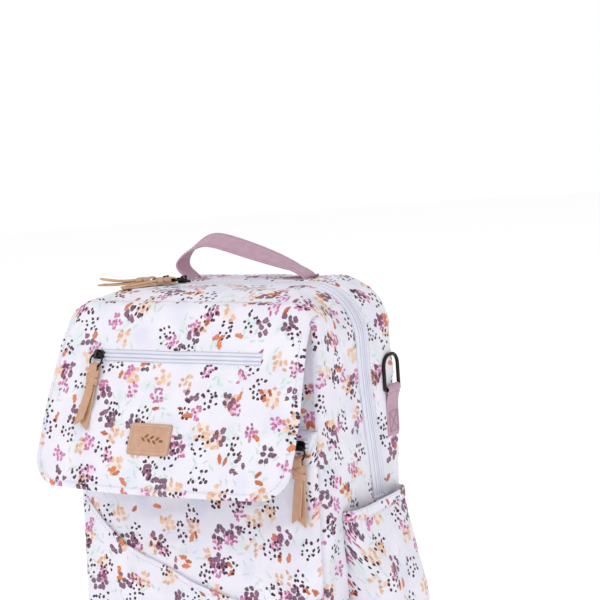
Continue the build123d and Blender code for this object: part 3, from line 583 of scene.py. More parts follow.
def make_finishes(settings):
    """Every material of the bag, named for the material and how its surface is made."""
    printed_cloth("coated_twill_screen_printed", settings.ground, settings.wear)
    # white spun polyester thread, matte
    plain_cloth("spun_polyester_thread_white", "#E6E4EC", "#D8D6E2", 0.5, 0.00004, 0.7)
    plain_cloth("spun_polyester_thread_mauve", "#B58FA6", "#A87F97", 0.5, 0.00004, 0.7)
    # lavender polyester lining, plain weave with a little gloss
    plain_cloth("polyester_lining_woven", "#CDC2D7", "#C6BAD1", 0.6, 0.00006, 0.5, sheen=0.1)
    # zip tape under a polyurethane film: smooth and slightly glossy
    tree, surface = finish_of("polyurethane_coated_zip_tape", Roughness=0.36, IOR=1.5)
    spot = node(tree, "TexCoord", output="Object")
    tint = speckle(tree, spot, 40.0, 0.0, 1.0)
    shade = node(tree, "Mix", {"Factor": tint, 6: colour("#E3E4F0"), 7: colour("#D9DAE9")}, output=2,
                 data_type="RGBA")
    # darker lines 2.2 mm and 5.9 mm across from the band's middle line: painted shade of the grooves beside
    # the welded ridges
    across = node(tree, "SeparateXYZ", {0: node(tree, "UVMap", output="UV", uv_map="cloth")})
    across = node(tree, "Math", {0: across}, operation="ABSOLUTE")
    near = node(tree, "Math", {0: across, 1: 0.0022}, operation="SUBTRACT")
    near = node(tree, "Math", {0: near}, operation="ABSOLUTE")
    far = node(tree, "Math", {0: across, 1: 0.0059}, operation="SUBTRACT")
    far = node(tree, "Math", {0: far}, operation="ABSOLUTE")
    groove_shade = node(tree, "Math", {0: near, 1: far}, operation="MINIMUM")
    groove_shade = node(tree, "MapRange", {"Value": groove_shade, "From Min": 0.0002, "From Max": 0.0009,
        "To Min": 0.62, "To Max": 1.0})
    shade = node(tree, "VectorMath", {0: shade, "Scale": groove_shade}, operation="SCALE")
    tree.links.new(shade, surface.inputs["Base Color"])
    bump(tree, surface, speckle(tree, spot, 300.0, 0.0, 1.0), 0.0001, 0.4)
    # painted shade: a dark strip laid in the groove beside a zip
    plain_cloth("painted_shade_zip_groove_strip", "#34323A", "#2A2830", 0.6, 0.00005, 0.8)
    webbing_finish("polyester_webbing_herringbone_mauve", "#C9A4B7", "#BD97AB")
    leather_finish("leather_vegetable_tanned_smooth", "#C59678", "#CFA487", 0.7, 0.00006, 0.5)
    leather_finish("leather_cut_edge_raw", "#DCB994", "#CFA67F", 0.4, 0.0001, 0.75)
    leather_finish("leather_debossed_line", "#8E5E3C", "#7C4F31", 0.6, 0.0001, 0.6)
    hard_finish("zinc_die_cast_gunmetal_plated", "#35302F", 0.32, 1.0, 0.2)
    hard_finish("steel_nickel_plated", "#B9B6B0", 0.3, 1.0, 0.2)
    hard_finish("acetal_injection_moulded_grey", "#5A5560", 0.45, 0.0, 0.3)
    hard_finish("hardboard_pressed", "#6B5A4A", 0.8, 0.0, 0.3)
    # warp knitted spacer mesh: small cells pressed into a soft face; the cells' holes darker with painted
    # shade
    tree, surface = finish_of("spacer_mesh_warp_knitted", Roughness=0.82, Sheen_Weight=0.15)
    millimetres = millimetres_of(tree, (1000.0, 650.0, 700.0))
    cells = node(tree, "TexVoronoi", {"Vector": millimetres, "Scale": 0.42, "Randomness": 0.25})
    hole_shade_and_depth = node(tree, "MapRange", {"Value": cells, "From Min": 0.12, "From Max": 0.42})
    shade = node(tree, "Mix", {"Factor": hole_shade_and_depth, 6: colour("#8F8794"), 7: colour("#DAD5DF")}, output=2,
                 data_type="RGBA")
    tree.links.new(shade, surface.inputs["Base Color"])
    bump(tree, surface, hole_shade_and_depth, 0.0005, 0.8)
    plain_cloth("mat_cloth_wipe_clean", "#E4DEE8", "#D9D0DF", 1.0, 0.00008, 0.35)


# ======== cloth of the main compartment
def loop(radius, height, base=BASE_CORNER, half=HALF, inset=0.0):
    """The bag's front view as a closed loop, one column per station.

    Each half is five pieces: half the base, the base corner's arc, the side, the top corner's arc, half the
    top. Returns x, z, the outward direction's x and z, and the length from the top's middle.
    """
    radius = np.atleast_1d(np.asarray(radius, float))[None, :]
    height = np.atleast_1d(np.asarray(height, float))[None, :]
    one = np.ones_like(radius)
    t = {k: np.linspace(0, 1, n, endpoint=k == "top")[:, None] for k, n in
         (("low", 20), ("base", 10), ("side", 105), ("corner", 26), ("top", 52))}
    turn = (t["base"] - 1) * np.pi / 2
    arc = t["corner"] * np.pi / 2
    x = np.concatenate((
        t["low"] * (half - base) * one, (half - base + base * np.cos(turn)) * one,
        half * one + 0 * t["side"],
        half - radius + radius * np.cos(arc), (half - radius) * (1 - t["top"])))
    z = np.concatenate((
        0 * t["low"] * one, (base + base * np.sin(turn)) * one, base + t["side"] * (height - radius - base),
        height - radius + radius * np.sin(arc), height + 0 * t["top"]))
    nx = np.concatenate((
        0 * t["low"] * one, np.cos(turn) * one, one + 0 * t["side"], np.cos(arc) * one, 0 * t["top"] * one))
    nz = np.concatenate((
        -1 + 0 * t["low"] * one, np.sin(turn) * one, 0 * t["side"] * one, np.sin(arc) * one,
        one + 0 * t["top"]))
    steps = np.hypot(np.diff(x, axis=0), np.diff(z, axis=0))
    length = np.concatenate((np.zeros_like(radius), np.cumsum(steps, 0)))
    length = length[-1:] - length
    mirrored = ((x, -1), (z, 1), (nx, -1), (nz, 1), (length, -1))
    x, z, nx, nz, length = (np.concatenate((half_loop, sign * half_loop[-2::-1])) for half_loop,
                            sign in mirrored)
    return x - inset * nx, z - inset * nz, nx, nz, length


def corner_of(y):
    """Radius of the top corners: full at the main zip, tighter towards the front edge."""
    return TOP_CORNER - 43 * soft_step(-y, 22.0, 88.0)


def top_of(y):
    """Height of the top panel: level, then falling to the ridge of the flap."""
    return HEIGHT - 11.0 * soft_step(-y, 38.0, 92.0)


def puff(share, crown, nz):
    """Outward swell across a panel, none on the base."""
    return crown * np.clip(4 * share * (1 - share), 0, 1) ** 0.6 * (1 - np.clip(-nz, 0, 1))


def gusset_grid(front, settings):
    """The band of cloth round the sides, top and base, in front of the main zip or behind it.

    Its columns run from the zip to the seam with the front or back panel. It rolls under at the zip, swells
    between the seams, turns over the seam in a quarter round, and creases softly all over.
    """
    t = np.linspace(0, 1, 42)
    share = t - 0.06 * np.sin(2 * np.pi * t)
    if front:
        depth = ZIP_Y - share * 90
        x, z, nx, nz, arc = loop(corner_of(depth), top_of(depth))
        zip_edge = ZIP_Y + slant(z) - TAPE * soft_step(z, 164, 178)
        seam = front_at(z)
    else:
        x, z, nx, nz, arc = loop(np.full(len(t), TOP_CORNER), np.full(len(t), HEIGHT))
        zip_edge = ZIP_Y + slant(z) + TAPE * soft_step(z, 164, 178)
        seam = np.full_like(z, BACK_Y)
    share = share[None, :] + 0 * z
    y = zip_edge + (seam - zip_edge) * share
    from_seam = np.abs(y - seam)
    from_zip = np.abs(y - zip_edge)
    round_over = 7.0
    inset = rounded(round_over, np.maximum(round_over - from_seam, 0))
    seed = 3 if front else 4
    side = np.abs(nx)
    crease = ripple(arc * 0.6, y, seed, 55) * 0.9 + ripple(arc, y * 0.35, seed + 10, 24) * 0.35
    pucker = np.sin(arc * 2 * np.pi / 8.5 + 2 * np.sin(arc / 31)) * (
        0.4 * np.exp(-from_zip / 7) + 0.45 * np.exp(-np.abs(from_seam - 7) / 8))
    keep = np.clip(np.minimum(from_zip / 5, 1), 0, 1) * (1 - np.clip(-nz, 0, 1))
    crease = np.minimum(crease * (0.45 + side) * settings.crease, 0.6)
    out = puff(share, settings.crown * (600 if front else 1000), nz) + (crease + pucker) * keep
    if front:
        # calm where the left pull lies when its slider is down
        out = np.where(out > 0,
                       out * (1 - 0.95 * np.exp(-(((x + 150) / 45) ** 2) - ((z - 325) / 60) ** 2)), out)
    out -= 1.5 * np.exp(-from_zip / 1.5) * (z > 168) + inset
    points = np.stack((x + nx * out, y, np.maximum(z + nz * out, 0.0)), -1)
    length = np.cumsum(np.linalg.norm(np.diff(points, axis=1, prepend=points[:, :1]), axis=2), 1)
    return points, np.stack((arc, -length if front else length + 24), -1)


def panel_grid(y_of, corner, height, away):
    """The front or back panel: rows from base to top, each as wide as the bag's front view there."""
    side = np.linspace(24, height - corner - 5, 50, endpoint=False)
    top = height - corner - 5 + corner * np.sin(np.linspace(0, np.pi / 2, 24))
    rows = np.concatenate((np.linspace(5, 24, 10, endpoint=False), side, top))
    base = BASE_CORNER - 5
    low = np.clip(base - (rows - 5), 0, base)
    high = np.clip(rows - (height - corner), 0, corner - 5)
    half = HALF - 5 - rounded(base, low) - rounded(corner - 5, high)
    x = np.linspace(-1, 1, 61)[None, :] * half[:, None]
    z = rows[:, None] + 0 * x
    y = y_of(z) + away * (0.2 + 1.5 * (1 - (x / HALF) ** 2) * np.sin(np.pi * np.clip(z / height, 0, 1))
                          + 0.5 * ripple(x, z, 8, 60))
    return np.stack((x, y, z), -1), np.stack((x + 410, z), -1)


def seam_line(points, column):
    """Points of one column of a gusset's grid and the outward directions there."""
    line = points[:, column]
    centre = np.array((0.0, 0.0, 200.0))
    out = unit(np.cross(np.gradient(line, axis=0), np.gradient(points, axis=1)[:, column]))
    flip = np.sign(np.sum(out * (line - centre), 1, keepdims=True))
    return line, out * flip


def lining_out(points):
    """Outward directions of a gusset's grid, as seen from the bag's middle line."""
    out = unit(np.cross(np.gradient(points, axis=0), np.gradient(points, axis=1)))
    middle = np.array((0.0, 0.0, 200.0))
    return out * np.sign(np.sum(out * (points - middle) * (1, 0.2, 1), -1, keepdims=True))


def build_body(settings):
    """Gussets, front and back panels, and the topstitching beside the seams."""
    cloth = ["coated_twill_screen_printed"]
    thread = ["spun_polyester_thread_white"]
    front, front_uv = gusset_grid(True, settings)
    shape = Shape()
    shape.grid(front, front_uv, away=(0, -40, 200))
    rest_on(shape.piece("front_gusset_cloth", cloth), ("bag", "front_top"),
            ("front_shell", "lower_shell"))
    shape = Shape()
    shape.grid(*panel_grid(front_at, 24.0, 388.0, -1.0), away=(0, 0, 200))
    rest_on(shape.piece("front_panel_cloth", cloth), ("bag", "front_top"))
    inner = front - 3.4 * lining_out(front)
    inner = inner[np.abs(inner[:, 20, 2]) > 5]
    panel, panel_uv = panel_grid(front_at, 24.0, 388.0, -1.0)
    shape = Shape()
    shape.grid(inner, inner[..., :2], away=(0, -40, 200))
    shape.faces = [face[::-1] for face in shape.faces]
    begin = len(shape.faces)
    shape.grid(panel * (0.975, 1, 0.985) + (0, 4.0, 3.0), panel_uv, away=(0, 0, 200))
    shape.faces[begin:] = [face[::-1] for face in shape.faces[begin:]]
    rest_on(shape.piece("front_lining_cloth", ["polyester_lining_woven"]),
            ("bag", "front_top"),
            ("lining_front", "lining_lower"))
    back, back_uv = gusset_grid(False, settings)
    shape = Shape()
    shape.grid(back, back_uv, away=(0, 40, 200))
    shape.grid(*panel_grid(lambda z: BACK_Y + 0 * z, TOP_CORNER, HEIGHT, 1.0), away=(0, 0, 200))
    rest_on(shape.piece("back_cloth", cloth), "bag", ("back_shell",))
    for name, points, bodies, line in (
        ("front_gusset_thread", front, ("bag", "front_top"), MOUTH_LINE),
        ("back_gusset_thread", back, "bag", None),
    ):
        shape = Shape()
        row, out = seam_line(points, 2)
        shown = row[:, 2] > 176
        shape.stitches(row[shown], out[shown])
        rest_on(shape.piece(name, thread), bodies)


# ======== pockets
def pocket_swell(x, z, half, edge, settings):
    """How far the front pocket's cloth swells: a crown, and creases that fade near an edge."""
    high = np.sin(np.pi * np.clip((z - POCKET_LOW) / (POCKET_TOP - POCKET_LOW), 0, 1)) ** 0.7
    crown = settings.crown * 1400 * np.cos(x / half * np.pi / 2) * high
    crease = (ripple(x, z * 0.6, 21, 85) * 1.6 + ripple(x * 0.5, z, 22, 34) * 0.5) * settings.crease
    return crown + np.minimum(crease, 0.4) * np.clip(edge / 18, 0, 1)


def base_taper(z):
    """Share of the pocket's width at a height: narrower where the bag's base corners turn under."""
    corner = np.clip(BASE_CORNER - z, 0, BASE_CORNER)
    return 1 - rounded(BASE_CORNER, corner) / 190


def pocket_sheet(settings):
    """Front of the pocket: a boxy pillow on the leaning front panel, deep = fx * fz with round sides."""
    round_side = 7.0
    turn = np.linspace(0, np.pi / 2, 7)
    edge = np.concatenate(([0.0], round_side - round_side * np.cos(turn)))
    rise = np.concatenate(([0.0], 0.35 + 0.65 * np.sin(turn)))
    flat = np.linspace(round_side, 2 * POCKET_HALF - round_side, 80)[1:-1]
    x = np.concatenate((edge, flat, 2 * POCKET_HALF - edge[::-1])) - POCKET_HALF
    fx = np.concatenate((rise, np.ones(len(flat)), rise[::-1]))
    tall = POCKET_TOP - POCKET_LOW
    flat = np.linspace(round_side, tall - round_side, 76)[1:-1]
    z = np.concatenate((edge, flat, tall - edge[::-1])) + POCKET_LOW
    fz = np.concatenate((rise, np.ones(len(flat)), rise[::-1]))
    x, z = np.meshgrid(x, z)
    deep = fx[None, :] * fz[:, None]
    x = x * base_taper(z)
    edge_far = np.minimum(POCKET_HALF - np.abs(x), np.minimum(POCKET_TOP - z, z - POCKET_LOW))
    swell = pocket_swell(x, z, POCKET_HALF, edge_far, settings)
    pucker = 0.45 * np.sin(z * 2 * np.pi / 9 + 2
                           * np.sin(z / 23)) * np.exp(-np.abs(POCKET_HALF - np.abs(x) - 5) / 6)
    out = deep * (POCKET_DEEP + swell + pucker)
    points = np.stack((x, front_at(z) - out, z), -1)
    points[:, [0, -1]] = points[:, [0, -1]] * (0.955, 1, 1) + (0, 2.5, 0)
    return points, unrolled(points, 170.0, 33.0)


SLIP_HALF = 149.0
SLIP_MOUTH = np.array(((-148.5, 191.0), (-140, 187), (-127, 173), (-116, 162), (-101, 150),
                       (-87, 139), (-64, 128),
                       (-42, 119), (-10, 109), (25, 99), (59, 90), (95, 81), (125, 74), (148.5, 69)), float)


def build_front_pocket(settings):
    """Front pocket, the slip pocket laid over it with its long curved mouth, and their stitching."""
    cloth = ["coated_twill_screen_printed", "spun_polyester_thread_white"]
    points, uv = pocket_sheet(settings)
    shape = Shape()
    shape.grid(points, uv, away=(0, 0, 130))
    rest_on(shape.piece("front_pocket_cloth", cloth), ("bag", "front_top"),
            ("pocket_upper", "pocket_lower"))
    # slip pocket: the same surface, lifted and gaping a little at its mouth, cut along the mouth's curve
    columns = np.concatenate(([-1.0], np.linspace(-0.985, 0.985, 90), [1.0])) * (POCKET_HALF + 0.4)
    mouth = np.interp(columns, *SLIP_MOUTH.T)
    rows = np.linspace(0, 1, 60) ** 0.8
    zz = POCKET_LOW + 1 + (mouth - POCKET_LOW - 1) * rows[:, None]
    xx = columns * base_taper(zz)
    low = np.clip((zz - POCKET_LOW) / 8, 0, 1)
    swell = pocket_swell(xx, zz, SLIP_HALF, SLIP_HALF - np.abs(xx), settings)
    deep = POCKET_DEEP * np.clip(0.3 + (SLIP_HALF - np.abs(xx)) / 7 * 0.7, 0.3, 1) ** 0.6 + 1.1
    face = deep * np.sqrt(low) + swell * low
    middle = np.sin(np.pi * np.clip((columns + SLIP_HALF) / (2 * SLIP_HALF), 0, 1)) ** 0.5
    gape = 2.4 * settings.gape * np.exp(-(mouth - zz) / 12) * middle
    wave = 0.8 * np.sin(columns / 17 + 0.8) * np.exp(-(mouth - zz) / 16)
    pucker = 0.22 * np.sin(columns * 2 * np.pi / 7.5) * np.exp(-np.abs(mouth - zz - 7) / 4)
    roll = -0.9 * np.exp(-(mouth - zz) / 0.8)
    y = front_at(zz) - face - gape - wave - pucker - roll
    sheet = np.stack((xx, y, zz), -1)
    hem = sheet[-1:].copy()
    hem[..., 1] += 2.6
    hem[..., 2] -= 1.5
    uv = unrolled(sheet, 12.0, 300.0)
    shape = Shape()
    shape.grid(np.concatenate((sheet, hem)), np.concatenate((uv, uv[-1:] - (0, 3))), away=(0, 0, 90))
    under = mouth - 6.5
    line = [[np.interp(under[k], zz[:, k],
                       sheet[:, k, axis]) for axis in range(3)] for k in range(len(columns))]
    line = np.array(line)
    shape.stitches(line[2:-2], (0, -1, 0.05), finish=1)
    rest_on(shape.piece("slip_pocket_cloth", cloth), ("bag", "front_top"),
            ("slip_pocket",))


def build_side_pockets(settings):
    """Bottle pockets: a rounded box that bulges low down and gathers into an elastic binding at its mouth."""
    finish = ["coated_twill_screen_printed", "spun_polyester_thread_white"]
    for sign, place in ((-1, "left"), (1, "right")):
        t = np.linspace(-1, 1, 97)
        v = np.concatenate((np.linspace(0, 0.06, 8, endpoint=False), np.linspace(0.06, 1, 54)))
        along, up = np.meshgrid(t, v)
        z = 4 + 163 * up
        bulge = np.interp(z, (4, 20, 58, 90, 130, 165, 168), (29, 37, 40.5, 36.5, 24.5, 14.2, 13.6))
        floor = np.sqrt(np.clip(1 - (1 - np.clip(up / 0.06, 0, 1)) ** 2, 0, 1))
        box = (1 - np.abs(along) ** 5.0) ** (1 / 2.2)
        gather = np.exp(-(1 - up) / 0.09)
        wave = np.sin(along * 56 * np.pi / 4 + 1.5 * np.sin(along * 9)) * (0.2 + 1.0 * gather)
        soft = ripple(along * 60, z, 31 + sign, 50) * 1.2 * settings.crease
        out = bulge * box * floor + (wave + soft) * box * floor
        y = 8 + 60.5 * along * (1 - 0.02 * gather)
        points = np.stack((sign * (HALF + out + 0.2), y, z), -1)
        shape = Shape()
        shape.grid(points, unrolled(points, 90.0 + 200 * sign, 60.0), away=(0, 8, 90))
        cloth = shape.piece(f"side_pocket_cloth_{place}", finish)
        thick = cloth.modifiers.new("cloth thickness", "SOLIDIFY")
        thick.thickness = 0.0013
        thick.offset = -1.0
        rest_on(cloth, "bag", (f"side_pocket_{place}",))
        # binding: a soft strip with an elastic inside, ribbed by the gathers
        top = np.stack((sign * (HALF + 13.8 * box[-1] + 0.9), y[-1], np.full(len(t), 165.0)), 1)
        wide = np.linspace(0, 2 * np.pi, 24, endpoint=False)
        rib = 1 + 0.13 * np.sin(t * 66 * np.pi / 4 + np.sin(t * 13))
        across = 5.9 * np.sign(np.cos(wide)) * np.abs(np.cos(wide)) ** 0.6
        section = np.stack((across, 1.25 * np.sin(wide)), 1)
        shape = Shape()
        shape.sweep(top + (0, 0, 6.0), (0, 0, 1), section, grow=np.stack((np.ones(len(t)), rib), 1))
        shape.uvs[-1] = shape.uvs[-1][:, ::-1] + (0.05 + 0.2 * sign, 0.25)
        out = unit(np.cross(np.gradient(top, axis=0), (0, 0, 1.0)) * 1.0)
        out *= np.sign(np.sum(out * (top - (0, 8, 165)), 1, keepdims=True))
        for height in (1.6, 10.2):
            shape.stitches(top + (0, 0, height) + out * 1.05, out, pitch=4.6, finish=1)
        rest_on(shape.piece(f"side_pocket_binding_{place}", finish), "bag",
                (f"side_hem_{place}",))


# ======== flap
def flap_point(x, down, out):
    """A point of the flap from its place across it, down it and out of it."""
    x, down, out = np.broadcast_arrays(x, down, out)
    return FLAP_ORIGIN + x[..., None] * (1, 0, 0) + down[..., None] * FLAP_DOWN + out[..., None] * FLAP_OUT


def flap_width(down):
    """Half the flap's width at a distance down it: narrower at the ridge, rounded at the lower corners."""
    half = 149.5 + 6.5 * soft_step(down, 0, 110)
    corner = FLAP_CORNER
    into = np.clip(down - (FLAP_LONG + 2 - corner), 0, corner)
    return half - rounded(corner, into)


def flap_bow(x, down):
    """How far the flap's lower edge hangs below a straight line, spread over its lower half."""
    return 5.0 * (1 - (x / FLAP_HALF) ** 2) * np.clip(down / FLAP_LONG, 0, 1) ** 3


def flap_lift(x, down, settings):
    """How far the flap's face stands out: crown and slow waves, calm beside the zip, and a wavy hem."""
    low = np.clip(down / FLAP_LONG, 0, 1)
    aside = np.cos(np.clip(x / FLAP_HALF, -1, 1) * np.pi / 2) ** 0.7
    crown = settings.crown * 1000 * aside * np.sin(np.pi * low)
    wave = ripple(x, down * 0.5, 41, 110) * 1.7 + ripple(x * 0.6, down, 42, 46) * 0.6
    edge = 2.0 * np.sin(x / 38 + 0.6) * low**5 - 3.0 * np.clip(np.abs(x) / FLAP_HALF, 0, 1) ** 8 * low**2
    wave = np.minimum(wave * settings.crease, 0.5) * np.clip(down / 25, 0, 1)
    calm = 1 - 0.85 * np.exp(-(((down - 62) / 26) ** 2))
    return (crown + wave) * calm + edge


def shoulder_drop(x, down):
    """How far the ends of the flap's ridge fall towards the sides, fading out below the ridge."""
    return 11.0 * np.clip((np.abs(x) - 122) / 28, 0, 1) ** 2.2 * (1 - soft_step(down, 0, 48))


def flap_face(x, down, settings, extra=0.0):
    """A point on the flap's outer face, rolling over the ridge onto the top panel above its upper edge."""
    flat = flap_point(x, down + flap_bow(x, down), FLAP_FACE + 0.6 + flap_lift(x, down, settings) + extra)
    roll_down = np.array((-20.0, -14.0, -8.0, -2.5, 3.0, 8.0, 13.0))
    roll_y = np.array((-62.0, -67.5, -73.3, -78.7, -83.4, -87.2, -90.3))
    roll_z = np.array((393.5, 393.2, 393.2, 392.6, 390.4, 386.6, 382.0))
    y = np.interp(down, roll_down, roll_y) + 0 * x
    z = np.interp(down, roll_down, roll_z) + 0 * x + extra
    over = np.stack((x + 0 * down, y, z), -1)
    drop = shoulder_drop(x, down)
    over[..., 2] -= drop
    flat[..., 2] -= drop
    share = soft_step(down, 2.0, 13.0)[..., None] if np.ndim(down) else soft_step(down, 2.0, 13.0)
    return over * (1 - share) + flat * share


def build_flap(settings):
    """The flap: its outer cloth and its lining joined round a turned edge, with topstitching."""
    rows = np.concatenate((np.linspace(-14, 12, 20, endpoint=False),
                           np.linspace(12, 158, 56, endpoint=False),
                           158 + 33.5 * np.sin(np.linspace(0, np.pi / 2, 26))))
    t = np.linspace(-1, 1, 101)
    t = t + 0.035 * np.sin(np.pi * t)
    half = flap_width(rows)
    x = half[:, None] * t
    down = rows[:, None] + 0 * x
    corner = FLAP_CORNER
    qx = np.abs(x) - (np.interp(down, (0, 110), (149.5, 156)) - corner)
    qd = down - (FLAP_LONG + 2 - corner)
    inside = np.where((qx > 0) & (qd > 0), corner - np.hypot(np.maximum(qx, 0), np.maximum(qd, 0)),
                      corner - np.maximum(qx, qd))
    inside = np.clip(inside, 0, None)
    round_over = 2.6
    fall = rounded(round_over, np.maximum(round_over - inside, 0))
    hem = 0.55 * np.exp(-((inside - 7.5) / 1.4) ** 2)
    pucker = 0.2 * np.sin((x + down) * 2 * np.pi / 7.5) * np.exp(-np.abs(inside - 5) / 4)
    face = flap_face(x, down, settings, -fall - hem + pucker * np.clip(inside / 3, 0, 1))
    uv = np.stack((x, -74 - down), -1)
    shape = Shape()
    shape.grid(face, uv, away=(0, 40, 250))
    lift = flap_lift(x, down, settings)
    lining = flap_point(x, down + flap_bow(x, down), lift - 0.2 + fall * 0.9)[18:]
    lining[..., 2] -= shoulder_drop(x, down)[18:]
    shape.grid(lining, uv[18:], finish=1, away=(0, -400, 350))
    # turned edge between face and lining: left side, foot, right side
    rim_face = np.concatenate((face[18:, 0], face[-1, 1:-1], face[18:, -1][::-1]))
    rim_back = np.concatenate((lining[:, 0], lining[-1, 1:-1], lining[:, -1][::-1]))
    rim_uv = np.concatenate((uv[18:, 0], uv[-1, 1:-1], uv[18:, -1][::-1]))
    middle = (rim_face + rim_back) / 2
    away = unit(middle - flap_point(np.array(0.0), np.array(80.0), np.array(2.0)))
    shape.grid(np.stack((rim_face, middle + away * 0.7, rim_back)), np.stack((rim_uv, rim_uv, rim_uv)),
               away=(0, -60, 300))
    finishes = ["coated_twill_screen_printed", "polyester_lining_woven", "spun_polyester_thread_white"]
    # topstitching 5.5 mm inside the edge
    stitch_down = np.linspace(22, 152, 60)
    inset = 5.6
    side = np.stack((-(flap_width(stitch_down) - inset), stitch_down), 1)
    turn = np.linspace(0, np.pi / 2, 16)
    r = corner - inset
    arc = np.stack((-(156 - corner) - r * np.cos(turn), FLAP_LONG + 2 - corner + r * np.sin(turn)), 1)
    foot = np.stack((np.linspace(-(156 - corner), 156 - corner, 90), np.full(90, FLAP_LONG + 2 - inset)), 1)
    path = np.concatenate((side, arc, foot[1:-1], arc[::-1] * (-1, 1), side[::-1] * (-1, 1)))
    line = flap_face(path[:, 0], path[:, 1], settings, 0.1)
    shape.stitches(line, FLAP_OUT, finish=2)
    # one more row along the ridge
    ridge = np.stack((np.linspace(-112, 112, 90), np.full(90, -6.0)), 1)
    shape.stitches(flap_face(ridge[:, 0], ridge[:, 1], settings, 0.1), (0, -0.2, 1), finish=2)
    rest_on(shape.piece("flap_cloth", finishes), ("front_top", "flap"),
            ("flap_panel", "flap_lining", "flap_ridge"))


# ======== zips
def ridged(across, base, ridges):
    """Height over a coated zip band: a flat film and rounded welds, each (place, height, half width)."""
    height = np.full_like(across, base)
    for place, tall, wide in ridges:
        height = height + tall * np.exp(-(((across - place) / wide) ** 2))
    return height


def coated_rise(across, edge):
    """Height of a coated zip: three welded ridges on a film that falls away at its cut edge."""
    welds = ((0.0, 1.0, 0.95), (-2.2, -0.5, 0.6), (2.2, -0.5, 0.6), (-4.3, 1.0, 0.75), (4.3, 1.0, 0.75))
    return ridged(across, 0.95, welds) * np.clip(edge / 0.9, 0, 1) ** 0.5 - 0.3


def build_flap_zip(settings):
    """Coated zip on the flap: a band with three welded ridges, stitched edges and bar tacks at its ends."""
    half = 105.5
    x = np.concatenate((np.linspace(-half, -half + 3, 6, endpoint=False),
                        np.linspace(-half + 3, half - 3, 90),
                        np.linspace(half - 3, half, 6)[1:]))
    c = np.linspace(-6.9, 6.9, 57)
    xx, cc = np.meshgrid(x, c)
    edge = np.minimum(6.9 - np.abs(cc), half - np.abs(xx))
    rise = coated_rise(cc, edge) + 0.10 * ripple(xx, cc * 3, 51, 18)
    shape = Shape()
    points = flap_face(xx, FLAP_ZIP_DOWN + cc, settings, rise)
    shape.grid(points, np.stack((cc, xx), -1), away=(0, 40, 250))
    for place in (-6.0, 6.0):
        line = np.linspace(-half + 2, half - 2, 110)
        row = flap_face(line, FLAP_ZIP_DOWN + place + 0 * line, settings, 0.25)
        shape.stitches(row, FLAP_OUT, finish=1, long=2.2, pitch=3.2, thick=0.32)
    for end in (-half + 1.2, half - 1.2):
        for step in np.linspace(-0.5, 0.5, 3):
            line = np.linspace(-5.5, 5.5, 12)
            row = flap_face(end + step + 0 * line, FLAP_ZIP_DOWN + line, settings, 0.4)
            shape.stitches(row, FLAP_OUT, finish=1, long=1.5, pitch=1.7, thick=0.4)
    rest_on(shape.piece("flap_zip_band", ["polyurethane_coated_zip_tape", "spun_polyester_thread_white"]),
            "flap",
            ("flap_zip_tape",))


def build_pocket_zip(settings):
    """Coated zip near the top of the front pocket."""
    half = 143.0
    x = np.linspace(-half, half, 120)
    c = np.linspace(-7.2, 7.2, 45)
    xx, cc = np.meshgrid(x, c)
    z = POCKET_ZIP_Z + cc
    edge = np.minimum(7.2 - np.abs(cc), half - np.abs(xx))
    swell = pocket_swell(xx, z, POCKET_HALF, np.minimum(POCKET_HALF - np.abs(xx), POCKET_TOP - z), settings)
    y = front_at(z) - POCKET_DEEP - swell - coated_rise(cc, edge) - 0.4
    shape = Shape()
    shape.grid(np.stack((xx, y, z), -1), np.stack((cc, xx), -1), away=(0, 0, 200))
    rest_on(shape.piece("pocket_zip_band", ["polyurethane_coated_zip_tape"]), "front_top",
            ("pocket_zip_tape",))


def zip_path(low):
    """The main zip's path in the bag's front view, above `low`: up one side, over the top, down the other."""
    x, z, nx, nz, _ = loop([TOP_CORNER], [HEIGHT])
    shown = z[:, 0] > low
    order = np.flatnonzero(shown)
    return np.stack((x[order, 0], slant(z[order, 0]), z[order, 0]),
                    1), np.stack((nx[order, 0], 0 * order, nz[order, 0]), 1)


